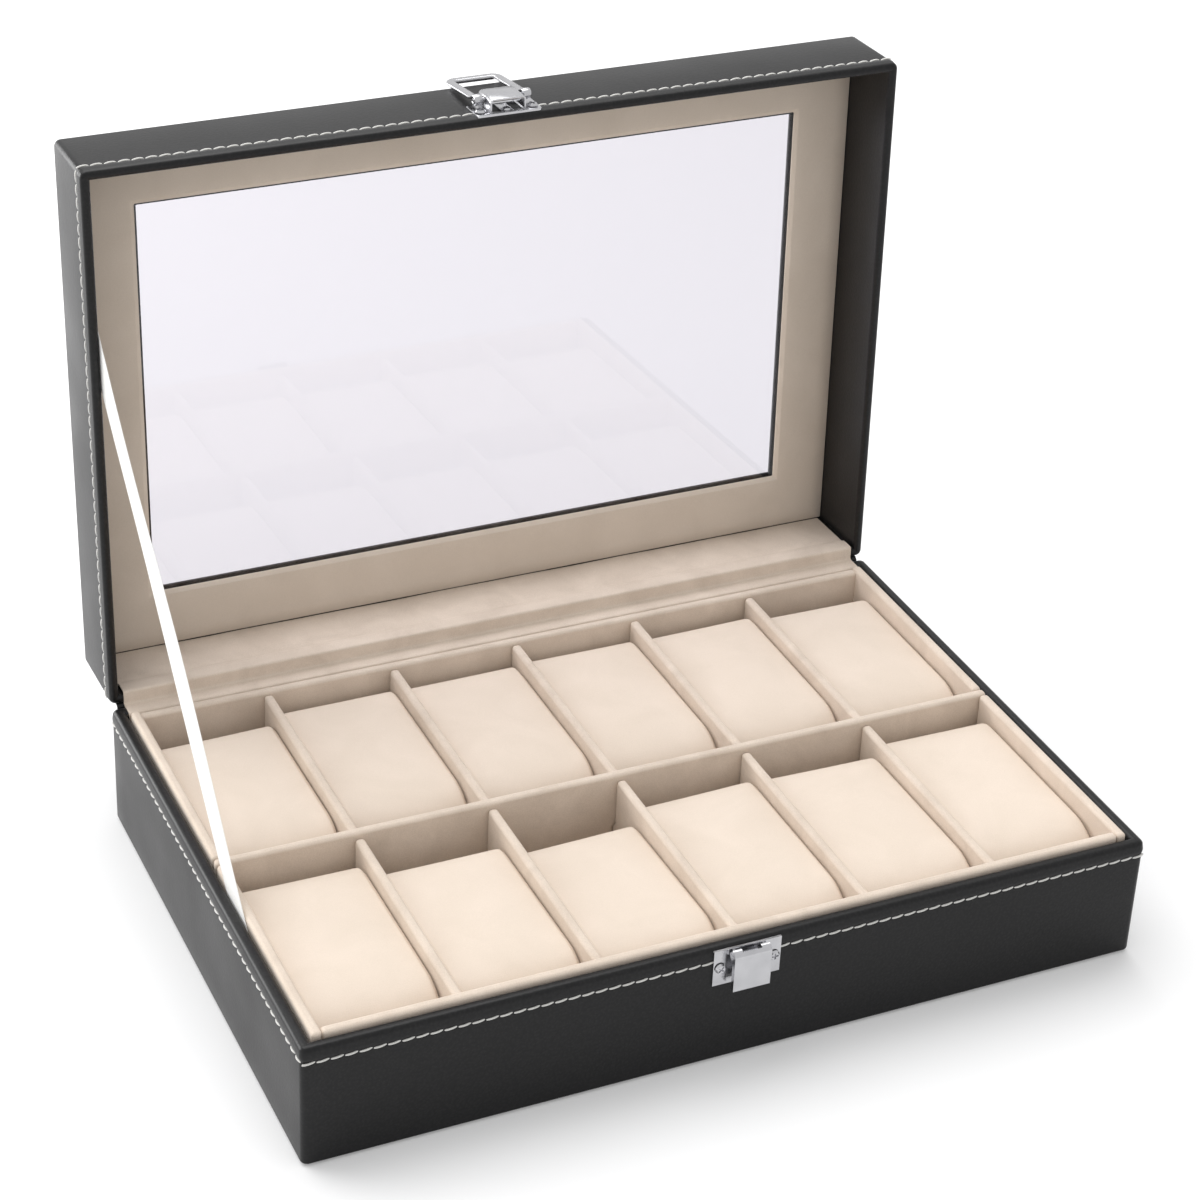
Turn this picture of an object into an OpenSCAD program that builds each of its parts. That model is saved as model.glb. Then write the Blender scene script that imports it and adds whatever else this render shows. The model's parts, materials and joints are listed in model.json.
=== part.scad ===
// Twelve-slot watch box with a glazed lid, shown with its lid standing open.
// Frame: X runs left to right, Y front to back, Z up. The origin is the centre of the underside.
// Lid pieces are drawn shut on the base and then swung open about the hinge line.

/* [Box] */
// Width of the box, left to right
box_w = 300; // [240:1:380]
// Depth of the box, front to back
box_d = 200; // [160:1:260]
// Height of the base, up to its rim
base_h = 46; // [38:0.5:70]
// Height of the lid, from its rim to its top
lid_h = 32.5; // [24:0.5:60]
// How far the lid stands open
open_angle = 92; // [60:1:105]
// Radius of the upright corners
corner_r = 2.4; // [1:0.1:3]

/* [Shells] */
// Thickness of the base's side and front boards
base_board_t = 3.2; // [2:0.1:5]
// Thickness of the board that carries the hinge
hinge_board_t = 4.6; // [3:0.1:7]
// Thickness of the bottom board
bottom_board_t = 3; // [2:0.1:6]
// Thickness of the lid's wall boards
lid_board_t = 2.2; // [1.6:0.1:4]
// Thickness of the board round the window
frame_board_t = 2.6; // [2.2:0.1:5]
// Thickness of the leather cover
leather_t = 0.6; // [0.4:0.05:1]
// How far the base's cover turns in over the rim
turn_in = 12; // [6:0.5:20]
// How far the base's cover turns in under the bottom
turn_under = 14; // [8:0.5:24]
// Thickness of the felt under the base
felt_t = 1.2; // [0.9:0.1:2]
// Gap between the two rims when the lid is shut
rim_gap = 0.4; // [0.3:0.05:1]

/* [Window] */
// Width of the border round the window
frame_border = 26.4; // [16:0.2:40]
// Thickness of the pane
glass_t = 1.6; // [1:0.1:2]
// How far the pane reaches past the opening
glass_lap = 6; // [3:0.5:12]
// Thickness of the velvet panel behind the pane
panel_t = 1.2; // [0.8:0.1:3]
// How far the velvet panel stands back from the opening
panel_reveal = 1.5; // [0.5:0.1:4]

/* [Tray] */
// Thickness of the tray's liner boards
liner_t = 3.5; // [2.5:0.1:5]
// How far the liner boards stand above the rim
liner_proud = 1.5; // [0.5:0.1:4]
// Thickness of the tray floor
tray_floor_t = 2.2; // [1.5:0.1:4]
// Gap round the tray
tray_gap = 0.6; // [0.5:0.05:1]
// Gap behind the tray, along the hinge
hinge_seam = 0.8; // [0.5:0.05:2]
// Thickness of the long divider
long_divider_t = 3.5; // [2.5:0.1:5]
// Thickness of each cross divider
cross_divider_t = 3.4; // [2.5:0.1:5]
// How far the cross dividers stop below the long one
cross_drop = 2; // [0.5:0.1:5]
// Number of pillows in each row
columns = 6; // [6]
// Clearance on each side of a slot
slot_gap = 0.15; // [0.05:0.05:0.3]

/* [Pillows] */
// How far a pillow's top lies below the tray's edge
pillow_sink = 5.6; // [4:0.1:12]
// Gap on each side of a pillow
pillow_side_gap = 0.5; // [0.3:0.05:2]
// Gap in front of a pillow
pillow_front_gap = 2; // [0.5:0.1:4]
// Gap behind a pillow, where the strap goes round
pillow_back_gap = 7.2; // [5:0.1:12]
// Radius of a pillow's upper front edge
pillow_front_r = 16; // [8:0.5:16]
// Radius of a pillow's other edges
pillow_r = 7; // [3:0.5:8]

/* [Hinge and stay] */
// Thickness of the lining strip over the hinge
lining_t = 0.8; // [0.5:0.05:1.2]
// How far the lining runs down behind the tray
lining_drop = 12; // [6:0.5:20]
// Thickness of the lining where it pads the lid's rim
lining_pad_t = 1.8; // [1.2:0.1:2.4]
// Height of that padding above the lid's rim
lining_pad_h = 7; // [4:0.5:12]
// Thickness of the outer leather strip
hinge_strip_t = 0.7; // [0.4:0.05:1]
// How far the outer strip laps each shell
hinge_strip_lap = 12; // [8:0.5:20]
// Width of the stay ribbon
ribbon_w = 14; // [8:0.5:20]
// Thickness of the stay ribbon
ribbon_t = 0.4; // [0.3:0.05:0.5]
// Distance from the hinge to each end of the ribbon
ribbon_reach = 120; // [80:1:130]

/* [Stitching] */
// Distance of the stitch line from the rim
stitch_inset = 5.5; // [4:0.1:8]
// Width of the thread
thread_w = 0.8; // [0.5:0.05:1.2]
// How far the thread stands out of the leather
thread_proud = 0.35; // [0.2:0.05:0.6]

/* [Latch] */
// Width of both latch plates
plate_w = 24; // [22:0.5:30]
// Thickness of both latch plates
plate_t = 0.8; // [0.6:0.05:1]
// Height of the plate on the lid
hasp_plate_h = 11; // [10.5:0.1:13]
// Height of the plate on the base
catch_plate_h = 13.6; // [12.6:0.1:16]
// Distance of each plate from its rim
plate_inset = 0.8; // [0.5:0.1:1.2]
// Width of the hook flap and of the bracket
flap_w = 13.2; // [11:0.1:13.4]
// Thickness of the flap and bracket metal
sheet_t = 0.7; // [0.5:0.05:0.8]
// How far the flap stands off the front
flap_off = 5; // [4.8:0.1:6]
// How far the flap reaches below its pin
flap_drop = 12.6; // [10:0.1:12.8]
// Radius of the flap's pin
flap_pin_r = 0.6; // [0.4:0.05:0.7]
// Height of the loop's pin above the lid's rim
hasp_pin_h = 8.6; // [8:0.1:10]
// How far the loop's pin stands off the front
hasp_pin_off = 3.6; // [3.4:0.1:4.4]
// Radius of the loop's pin
hasp_pin_r = 0.7; // [0.5:0.05:0.8]
// Width of each arm of the loop
loop_arm_w = 3; // [2:0.1:3.4]
// Thickness of the loop
loop_t = 1.2; // [0.8:0.1:1.4]
// Gap between the loop and the flap
loop_gap = 0.9; // [0.5:0.05:1.4]
// Height of the loop's far bar
loop_bar_h = 3; // [2:0.1:4]
// Running clearance round both pins
pin_clearance = 0.06; // [0.03:0.01:0.1]
// Radius of a screw head
screw_head_r = 1.9; // [1.5:0.1:2.2]
// Height of a screw head
screw_head_h = 0.7; // [0.5:0.1:0.9]

/* [Hidden] */
$fn = 48;
row_names = ["front", "back"];
cross_names = [for (i = [1:columns - 1]) str("cross_divider_", i)];
pillow_names = [for (row = row_names) for (i = [1:columns]) str("pillow_", row, "_", i)];

leather_color = [0.11, 0.11, 0.115];
velvet_color = [0.84, 0.76, 0.67];
pillow_color = [0.91, 0.84, 0.75];
board_color = [0.62, 0.5, 0.36];
thread_color = [0.93, 0.92, 0.9];
metal_color = [0.8, 0.8, 0.82];

// Base shell, from the outside in
board_x = box_w / 2 - leather_t;
board_y = box_d / 2 - leather_t;
bottom_top = felt_t + bottom_board_t;
base_board_top = base_h - leather_t;
base_in_x = board_x - base_board_t - leather_t;
base_in_front = -(board_y - base_board_t - leather_t);
base_back_face = board_y - hinge_board_t;
base_in_back = base_back_face - lining_t;

// Tray
tray_x = base_in_x - tray_gap;
tray_front = base_in_front;
tray_back = base_in_back - hinge_seam;
tray_top = base_h + liner_proud;
floor_top = bottom_top + tray_floor_t;
well_x = tray_x - liner_t;
well_front = tray_front + liner_t;
well_back = tray_back - liner_t;
row_d = (well_back - well_front - long_divider_t) / 2;
divider_y = well_front + row_d;
cell_w = (2 * well_x - (columns - 1) * cross_divider_t) / columns;
cell_pitch = cell_w + cross_divider_t;
lap_z = (floor_top + tray_top) / 2;
cross_top = tray_top - cross_drop;
pillow_w = cell_w - 2 * pillow_side_gap;
pillow_d = row_d - pillow_front_gap - pillow_back_gap;
pillow_h = tray_top - pillow_sink - floor_top;

// Lid, drawn shut
lid_rim = base_h + rim_gap;
lid_top = lid_rim + lid_h;
lid_wall_t = lid_board_t + 2 * leather_t;
lid_in_x = box_w / 2 - lid_wall_t;
lid_in_front = -(box_d / 2 - lid_wall_t);
lid_back_face = board_y - lid_board_t;
frame_top = lid_top - leather_t;
frame_bottom = frame_top - frame_board_t;
panel_gap = 0.1;
window_w = box_w - 2 * frame_border;
window_d = box_d - 2 * frame_border;
lining_x = base_in_x - tray_gap;
hinge_y = box_d / 2 + rim_gap;
hinge_z = base_h + rim_gap / 2;

// Stay ribbon, end to end in the plane of the left wall
ribbon_start = [hinge_y - ribbon_reach, hinge_z];
ribbon_end = [hinge_y - ribbon_reach * cos(open_angle), hinge_z + ribbon_reach * sin(open_angle)];
ribbon_span = norm(ribbon_end - ribbon_start);
ribbon_slope = atan2(ribbon_end[1] - ribbon_start[1], ribbon_end[0] - ribbon_start[0]);
ribbon_tuck = 14;
ribbon_x = -(base_in_x - tray_gap / 2);
ribbon_lid_x = -(lid_in_x - ribbon_t / 2 - 0.05);

// Latch
front_y = -box_d / 2;
hasp_pin_y = front_y - hasp_pin_off;
hasp_pin_z = lid_rim + hasp_pin_h;
hasp_plate_z = lid_rim + plate_inset;
catch_plate_top = base_h - plate_inset;
catch_plate_z = catch_plate_top - catch_plate_h;
flap_curl_r = 2.4;
flap_pin_y = front_y - flap_off + flap_curl_r;
flap_pin_z = catch_plate_top - 1.8;
flap_bottom_z = flap_pin_z - flap_drop;
flap_swing_r = norm([hasp_pin_z - flap_bottom_z, flap_off - hasp_pin_off]);
loop_in_x = flap_w / 2 + loop_gap;
loop_out_x = loop_in_x + loop_arm_w;
loop_in_r = flap_swing_r + 0.45;
loop_out_r = loop_in_r + loop_bar_h;
loop_rest_off = 0.35;
loop_rest_angle = asin((hasp_pin_off - loop_t / 2 - loop_rest_off) / loop_out_r);
knuckle_r = 1.7;
bracket_z0 = hasp_plate_z + 1.6;
bracket_z1 = hasp_pin_z + 4.6;
bracket_off = hasp_pin_off + 1.8;
ear_gap = 0.3;
ear_r = 1.5;
screw_x = plate_w / 2 - screw_head_r - 0.5;
hasp_screw_z = hasp_plate_z + 3.2;
catch_screw_z = catch_plate_z + catch_plate_h / 2;

// A block between two corners
module block(low, high) {
    translate(low) cube(high - low);
}

// A flat outline with round corners
module rounded_outline(w, d, r) {
    square([w - 2 * r, d], center = true);
    square([w, d - 2 * r], center = true);
    for (x = [-1, 1]) {
        for (y = [-1, 1]) {
            translate([x * (w / 2 - r), y * (d / 2 - r)]) circle(r);
        }
    }
}

// An upright slab with round corners
module rounded_slab(w, d, r, z0, z1) {
    translate([0, 0, z0]) linear_extrude(z1 - z0) rounded_outline(w, d, r);
}

// A profile drawn in Y and Z, drawn out along X between two places
module along_x(x0, x1) {
    translate([x0, 0, 0]) rotate([90, 0, 90]) linear_extrude(x1 - x0) children();
}

// A bar along X
module rod(y, z, r, x0, x1) {
    translate([x0, y, z]) rotate([0, 90, 0]) cylinder(r = r, h = x1 - x0);
}

// What the leather wraps: a slab the size of the boards
module core_slab(z0, z1) {
    rounded_slab(2 * board_x, 2 * board_y, corner_r - leather_t, z0, z1);
}

// A board cut from the core between two corners
module board(low, high) {
    intersection() {
        core_slab(low[2], high[2]);
        block(low, high);
    }
}

// The same piece on the left, and on the right
module both_sides() {
    children();
    mirror([1, 0, 0]) children();
}

// Swings what is drawn shut to where the open lid stands
module opened() {
    translate([0, hinge_y, hinge_z])
        rotate([-open_angle, 0, 0])
        translate([0, -hinge_y, -hinge_z])
        children();
}

module opened_profile() {
    translate([hinge_y, hinge_z])
        rotate(-open_angle)
        translate([-hinge_y, -hinge_z])
        children();
}

// Base shell
module base_bottom() {
    color(board_color) core_slab(felt_t, bottom_top);
}

module base_front_wall() {
    color(board_color)
        board([-board_x, -board_y, bottom_top], [board_x, -board_y + base_board_t, base_board_top]);
}

module base_back_wall() {
    color(board_color)
        board([-board_x, base_back_face, bottom_top], [board_x, board_y, base_h - lining_t]);
}

module base_right_wall() {
    color(board_color)
        block([board_x - base_board_t, -board_y + base_board_t, bottom_top],
              [board_x, base_back_face, base_board_top]);
}

module base_left_wall() {
    mirror([1, 0, 0]) base_right_wall();
}

module base_cover() {
    felt_x = box_w / 2 - turn_under;
    felt_y = box_d / 2 - turn_under;
    color(leather_color)
        difference() {
            rounded_slab(box_w, box_d, corner_r, felt_t - leather_t, base_h);
            // the boards, and what the tray fills
            core_slab(felt_t, base_h - turn_in);
            base_front_wall();
            base_back_wall();
            both_sides() base_right_wall();
            block([-base_in_x, base_in_front, bottom_top], [base_in_x, base_back_face + 1, base_h + 1]);
            // the hinge lining's place on the rim, and the felt's place underneath
            block([-lining_x, base_back_face - 1, base_h - lining_t], [lining_x, box_d / 2 + 1, base_h + 1]);
            block([-felt_x, -felt_y, -1], [felt_x, felt_y, bottom_top]);
        }
}

module base_felt() {
    felt_x = box_w / 2 - turn_under;
    felt_y = box_d / 2 - turn_under;
    color([0.13, 0.13, 0.13])
        block([-felt_x, -felt_y, 0], [felt_x, felt_y, felt_t]);
}

// A line of thread round the front and the two sides, on the leather
module stitch_band(z, front_gap) {
    corner_x = box_w / 2 - corner_r;
    corner_y = -box_d / 2 + corner_r;
    translate([0, 0, z - thread_w / 2])
        both_sides() {
            block([box_w / 2, corner_y, 0], [box_w / 2 + thread_proud, -corner_y, thread_w]);
            block([front_gap, -box_d / 2 - thread_proud, 0], [corner_x, -box_d / 2, thread_w]);
            translate([corner_x, corner_y, 0])
                rotate([0, 0, -90])
                rotate_extrude(angle = 90)
                translate([corner_r, 0])
                square([thread_proud, thread_w]);
        }
}

module base_stitching() {
    color(thread_color) stitch_band(base_h - stitch_inset, plate_w / 2 + 0.4);
}

// Tray
module tray_floor() {
    color(velvet_color)
        block([-tray_x, tray_front, bottom_top], [tray_x, tray_back, floor_top]);
}

module tray_front_liner() {
    color(velvet_color)
        block([-well_x, tray_front, floor_top], [well_x, well_front, tray_top]);
}

module tray_back_liner() {
    color(velvet_color)
        block([-well_x, well_back, floor_top], [well_x, tray_back, tray_top]);
}

// The long divider's ends drop into a slot in the upper half of each side liner
module tray_right_liner() {
    color(velvet_color)
        difference() {
            block([well_x, tray_front, floor_top], [tray_x, tray_back, tray_top]);
            block([well_x - 1, divider_y - slot_gap, lap_z - slot_gap],
                  [tray_x + 1, divider_y + long_divider_t + slot_gap, tray_top + 1]);
        }
}

module tray_left_liner() {
    mirror([1, 0, 0]) tray_right_liner();
}

function cross_x(i) = -well_x + i * cell_pitch - cross_divider_t;

module long_divider() {
    far_y = divider_y + long_divider_t;
    color(velvet_color)
        difference() {
            union() {
                block([-well_x, divider_y, floor_top], [well_x, far_y, tray_top]);
                block([-tray_x, divider_y, lap_z], [tray_x, far_y, tray_top]);
            }
            for (i = [1:columns - 1]) {
                block([cross_x(i) - slot_gap, divider_y - 1, floor_top - 1],
                      [cross_x(i) + cross_divider_t + slot_gap, far_y + 1, lap_z]);
            }
        }
}

module cross_divider(i) {
    far_x = cross_x(i) + cross_divider_t;
    color(velvet_color)
        difference() {
            block([cross_x(i), well_front, floor_top], [far_x, well_back, cross_top]);
            block([cross_x(i) - 1, divider_y - slot_gap, lap_z],
                  [far_x + 1, divider_y + long_divider_t + slot_gap, cross_top + 1]);
        }
}

// Pillows
module pillow_profile() {
    front_r = pillow_front_r;
    r = pillow_r;
    d = pillow_d;
    h = pillow_h;
    polygon([[r, 0], [d - r, 0], [d, r], [d, h - r], [d - r, h], [front_r, h], [0, h - front_r], [0, r]]);
    translate([r, r]) circle(r);
    translate([d - r, r]) circle(r);
    translate([d - r, h - r]) circle(r);
    translate([front_r, h - front_r]) circle(front_r);
}

module pillow(row, i) {
    x = -well_x + (i - 1) * cell_pitch + pillow_side_gap;
    y = (row == "front" ? well_front : divider_y + long_divider_t) + pillow_front_gap;
    color(pillow_color)
        translate([0, y, floor_top])
        along_x(x, x + pillow_w)
        pillow_profile();
}

// Lid shell, each board drawn shut and then opened
module lid_front_board() {
    board([-board_x, -board_y, lid_rim + leather_t], [board_x, -board_y + lid_board_t, frame_bottom]);
}

module lid_back_board() {
    board([-board_x, lid_back_face, lid_rim + lining_t], [board_x, board_y, frame_bottom]);
}

module lid_side_board() {
    block([board_x - lid_board_t, -board_y + lid_board_t, lid_rim + leather_t],
          [board_x, lid_back_face, frame_bottom]);
}

module lid_top_board() {
    hole_x = window_w / 2 + leather_t;
    hole_y = window_d / 2 + leather_t;
    rebate_x = window_w / 2 + glass_lap + panel_gap;
    rebate_y = window_d / 2 + glass_lap + panel_gap;
    difference() {
        core_slab(frame_bottom, frame_top);
        block([-hole_x, -hole_y, frame_bottom - 1], [hole_x, hole_y, frame_top + 1]);
        block([-rebate_x, -rebate_y, frame_bottom - 1], [rebate_x, rebate_y, frame_bottom + glass_t]);
    }
}

module lid_front_wall() {
    color(board_color) opened() lid_front_board();
}

module lid_back_wall() {
    color(board_color) opened() lid_back_board();
}

module lid_left_wall() {
    color(board_color) opened() mirror([1, 0, 0]) lid_side_board();
}

module lid_right_wall() {
    color(board_color) opened() lid_side_board();
}

module lid_frame_board() {
    color(board_color) opened() lid_top_board();
}

module lid_cover() {
    hole_x = window_w / 2;
    hole_y = window_d / 2;
    rebate_x = hole_x + glass_lap + panel_gap;
    rebate_y = hole_y + glass_lap + panel_gap;
    color(leather_color)
        opened()
        difference() {
            rounded_slab(box_w, box_d, corner_r, lid_rim, lid_top);
            // the boards
            lid_front_board();
            lid_back_board();
            both_sides() lid_side_board();
            lid_top_board();
            // the hollow of the lid, the pane's rebate and the window
            block([-lid_in_x, lid_in_front, lid_rim - 1], [lid_in_x, lid_back_face, frame_bottom]);
            block([-rebate_x, -rebate_y, frame_bottom - 1], [rebate_x, rebate_y, frame_bottom + glass_t]);
            block([-hole_x, -hole_y, frame_bottom - 1], [hole_x, hole_y, lid_top + 1]);
            // the hinge lining's place on the rim
            block([-lining_x, lid_back_face - 1, lid_rim - 1], [lining_x, box_d / 2 + 1, lid_rim + lining_t]);
        }
}

module lid_stitching() {
    color(thread_color) opened() stitch_band(lid_rim + stitch_inset, plate_w / 2 + 0.4);
}

module window_pane() {
    pane_x = window_w / 2 + glass_lap;
    pane_y = window_d / 2 + glass_lap;
    color([0.85, 0.9, 0.92, 0.35])
        opened() block([-pane_x, -pane_y, frame_bottom], [pane_x, pane_y, frame_bottom + glass_t]);
}

module velvet_panel() {
    panel_x = lid_in_x - panel_gap;
    panel_back = lid_back_face - lining_t - panel_gap;
    hole_x = window_w / 2 + panel_reveal;
    hole_y = window_d / 2 + panel_reveal;
    color(velvet_color)
        opened()
        difference() {
            block([-panel_x, lid_in_front + panel_gap, frame_bottom - panel_t], [panel_x, panel_back, frame_bottom]);
            block([-hole_x, -hole_y, frame_bottom - panel_t - 1], [hole_x, hole_y, frame_bottom + 1]);
        }
}

// Hinge and stay
module hinge_lining() {
    pad_y = lid_back_face - lining_pad_t;
    flat_y = lid_back_face - lining_t;
    fold_r = rim_gap + 0.05;
    color(velvet_color)
        along_x(-lining_x, lining_x)
        union() {
            // behind the tray and over the base's rim
            translate([base_in_back, base_h - lining_drop]) square([lining_t, lining_drop]);
            translate([base_in_back, base_h - lining_t]) square([box_d / 2 - base_in_back, lining_t]);
            // across the lid's rim and up its back wall
            opened_profile() {
                translate([pad_y, lid_rim]) square([box_d / 2 - pad_y, lining_t]);
                translate([pad_y, lid_rim]) square([lining_pad_t, lining_pad_h]);
                translate([flat_y, lid_rim]) square([lining_t, frame_bottom - lid_rim]);
            }
            translate([hinge_y, hinge_z]) circle(fold_r);
        }
}

module hinge_strip() {
    half = box_w / 2 - corner_r;
    color(leather_color)
        along_x(-half, half)
        union() {
            translate([box_d / 2, base_h - hinge_strip_lap]) square([hinge_strip_t, hinge_strip_lap]);
            opened_profile()
                translate([box_d / 2, lid_rim]) square([hinge_strip_t, hinge_strip_lap]);
        }
}

module stay_ribbon() {
    lean = asin((ribbon_x - ribbon_lid_x) / (ribbon_span + ribbon_tuck));
    color([0.96, 0.95, 0.93])
        translate([ribbon_x, ribbon_start[0], ribbon_start[1]])
        rotate([ribbon_slope, 0, 0])
        rotate([0, 0, lean])
        translate([-ribbon_t / 2, -ribbon_tuck, -ribbon_w / 2])
        cube([ribbon_t, ribbon_span + 2 * ribbon_tuck, ribbon_w]);
}

// Latch, lid half
module hasp_plate() {
    color(metal_color)
        opened()
        difference() {
            union() {
                block([-plate_w / 2, front_y - plate_t, hasp_plate_z],
                      [plate_w / 2, front_y, hasp_plate_z + hasp_plate_h]);
                block([-flap_w / 2, front_y - bracket_off, bracket_z0], [flap_w / 2, front_y - plate_t, bracket_z1]);
            }
            block([-flap_w / 2 + sheet_t, front_y - bracket_off + sheet_t, bracket_z0 - 1],
                  [flap_w / 2 - sheet_t, front_y - plate_t, bracket_z1 + 1]);
            rod(hasp_pin_y, hasp_pin_z, hasp_pin_r, -flap_w / 2 - 1, flap_w / 2 + 1);
        }
}

module hasp_pin() {
    color(metal_color)
        opened() rod(hasp_pin_y, hasp_pin_z, hasp_pin_r, -loop_out_x, loop_out_x);
}

module hasp_rivet() {
    color(metal_color)
        opened()
        translate([0, front_y - plate_t, hasp_screw_z])
        rotate([90, 0, 0])
        cylinder(r = 1.6, h = 0.9);
}

// A cross-head screw, its head on the plate
module screw(x, z) {
    slot_w = 0.5;
    translate([x, front_y - plate_t, z])
        rotate([90, 0, 0])
        difference() {
            cylinder(r = screw_head_r, h = screw_head_h);
            for (turn = [45, 135]) {
                rotate([0, 0, turn])
                    translate([-screw_head_r * 0.7, -slot_w / 2, screw_head_h / 2])
                    cube([screw_head_r * 1.4, slot_w, screw_head_h]);
            }
        }
}

module hasp_screws() {
    color(metal_color)
        opened() {
            screw(-screw_x, hasp_screw_z);
            screw(screw_x, hasp_screw_z);
        }
}

// The loop, folded back on the lid's front wall
module hasp_loop() {
    color(metal_color)
        opened()
        translate([0, hasp_pin_y, hasp_pin_z])
        rotate([-loop_rest_angle, 0, 0])
        difference() {
            union() {
                for (side = [-1, 1]) {
                    mirror([side < 0 ? 1 : 0, 0, 0]) {
                        block([loop_in_x, -loop_t / 2, 0], [loop_out_x, loop_t / 2, loop_out_r]);
                        rod(0, 0, knuckle_r, loop_in_x, loop_out_x);
                    }
                }
                block([-loop_out_x, -loop_t / 2, loop_in_r], [loop_out_x, loop_t / 2, loop_out_r]);
            }
            rod(0, 0, hasp_pin_r + pin_clearance, -loop_out_x - 1, loop_out_x + 1);
        }
}

// Latch, base half
module catch_plate() {
    ear_out = flap_w / 2 - sheet_t - ear_gap;
    color(metal_color)
        difference() {
            union() {
                block([-plate_w / 2, front_y - plate_t, catch_plate_z], [plate_w / 2, front_y, catch_plate_top]);
                for (x = [-ear_out, ear_out - sheet_t]) {
                    rod(flap_pin_y, flap_pin_z, ear_r, x, x + sheet_t);
                    block([x, flap_pin_y, flap_pin_z - ear_r],
                          [x + sheet_t, front_y - plate_t, flap_pin_z + ear_r]);
                }
            }
            rod(flap_pin_y, flap_pin_z, flap_pin_r, -flap_w, flap_w);
        }
}

module catch_pin() {
    color(metal_color)
        rod(flap_pin_y, flap_pin_z, flap_pin_r, -flap_w / 2 - 0.2, flap_w / 2 + 0.2);
}

// A close-wound coil round the pin
module catch_spring() {
    wire_r = 0.22;
    turns = 12;
    bore_r = flap_pin_r + 0.05;
    half = 2.6;
    color([0.55, 0.55, 0.57])
        translate([-half, flap_pin_y, flap_pin_z])
        rotate([0, 90, 0])
        rotate_extrude() {
            translate([bore_r, 0]) square([wire_r, 2 * half]);
            for (i = [0:turns]) {
                translate([bore_r + wire_r, i * 2 * half / turns]) circle(wire_r);
            }
        }
}

module catch_screws() {
    color(metal_color) {
        screw(-screw_x, catch_screw_z);
        screw(screw_x, catch_screw_z);
    }
}

module catch_flap() {
    front = -flap_curl_r;
    slot_half = 3.4;
    color(metal_color)
        translate([0, flap_pin_y, flap_pin_z])
        difference() {
            union() {
                along_x(-flap_w / 2, flap_w / 2)
                    difference() {
                        union() {
                            circle(flap_curl_r);
                            translate([front, -flap_drop]) square([flap_curl_r, flap_drop]);
                        }
                        circle(flap_curl_r - sheet_t);
                        translate([front + sheet_t, -flap_drop - 1]) square([flap_curl_r, flap_drop + 1]);
                        translate([0, -flap_curl_r - 1]) square([flap_curl_r + 1, 2 * flap_curl_r + 2]);
                    }
                for (side = [-1, 1]) {
                    mirror([side < 0 ? 1 : 0, 0, 0])
                        along_x(flap_w / 2 - sheet_t, flap_w / 2)
                        union() {
                            translate([front, -flap_drop]) square([flap_curl_r - 0.6, flap_drop]);
                            circle(ear_r);
                        }
                }
            }
            rod(0, 0, flap_pin_r + pin_clearance, -flap_w, flap_w);
            block([-slot_half, -flap_curl_r * 0.6, 0.2], [slot_half, flap_curl_r, flap_curl_r + 1]);
        }
}

base_bottom();
base_front_wall();
base_back_wall();
base_left_wall();
base_right_wall();
base_cover();
base_felt();
base_stitching();
tray_floor();
tray_front_liner();
tray_back_liner();
tray_left_liner();
tray_right_liner();
long_divider();
for (i = [1:columns - 1]) {
    cross_divider(i);
}
for (row = row_names) {
    for (i = [1:columns]) {
        pillow(row, i);
    }
}
lid_front_wall();
lid_back_wall();
lid_left_wall();
lid_right_wall();
lid_frame_board();
lid_cover();
lid_stitching();
window_pane();
velvet_panel();
hinge_lining();
hinge_strip();
stay_ribbon();
hasp_plate();
hasp_pin();
hasp_rivet();
hasp_screws();
hasp_loop();
catch_plate();
catch_pin();
catch_spring();
catch_screws();
catch_flap();
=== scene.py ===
import json
import math

import bmesh
import bpy
import numpy as np
from mathutils import Matrix, Vector


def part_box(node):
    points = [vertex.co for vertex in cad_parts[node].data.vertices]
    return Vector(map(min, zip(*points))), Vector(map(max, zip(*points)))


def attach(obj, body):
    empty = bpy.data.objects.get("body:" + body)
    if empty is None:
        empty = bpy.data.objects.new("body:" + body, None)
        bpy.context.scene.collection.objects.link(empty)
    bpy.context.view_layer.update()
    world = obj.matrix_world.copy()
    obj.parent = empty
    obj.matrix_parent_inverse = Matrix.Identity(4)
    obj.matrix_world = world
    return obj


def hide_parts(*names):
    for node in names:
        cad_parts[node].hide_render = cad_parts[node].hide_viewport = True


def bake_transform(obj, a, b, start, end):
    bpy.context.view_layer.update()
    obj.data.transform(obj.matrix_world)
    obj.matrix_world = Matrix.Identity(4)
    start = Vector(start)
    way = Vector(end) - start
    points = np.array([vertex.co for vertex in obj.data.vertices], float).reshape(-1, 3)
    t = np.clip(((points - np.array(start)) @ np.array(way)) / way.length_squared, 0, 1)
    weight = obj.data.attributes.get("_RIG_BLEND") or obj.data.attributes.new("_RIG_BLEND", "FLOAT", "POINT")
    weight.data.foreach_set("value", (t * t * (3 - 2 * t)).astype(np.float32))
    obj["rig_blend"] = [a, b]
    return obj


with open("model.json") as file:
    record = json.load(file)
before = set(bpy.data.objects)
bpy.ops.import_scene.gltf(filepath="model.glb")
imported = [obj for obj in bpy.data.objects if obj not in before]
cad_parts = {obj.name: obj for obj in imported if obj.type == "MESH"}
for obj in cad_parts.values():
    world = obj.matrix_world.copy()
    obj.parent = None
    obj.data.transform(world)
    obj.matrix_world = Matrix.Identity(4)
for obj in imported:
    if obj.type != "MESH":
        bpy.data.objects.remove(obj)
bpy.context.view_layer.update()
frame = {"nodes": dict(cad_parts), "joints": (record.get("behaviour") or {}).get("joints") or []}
nodes = frame["nodes"]
joints = {joint["name"]: joint for joint in frame["joints"]}
scene = bpy.context.scene
mm = 0.001

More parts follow.
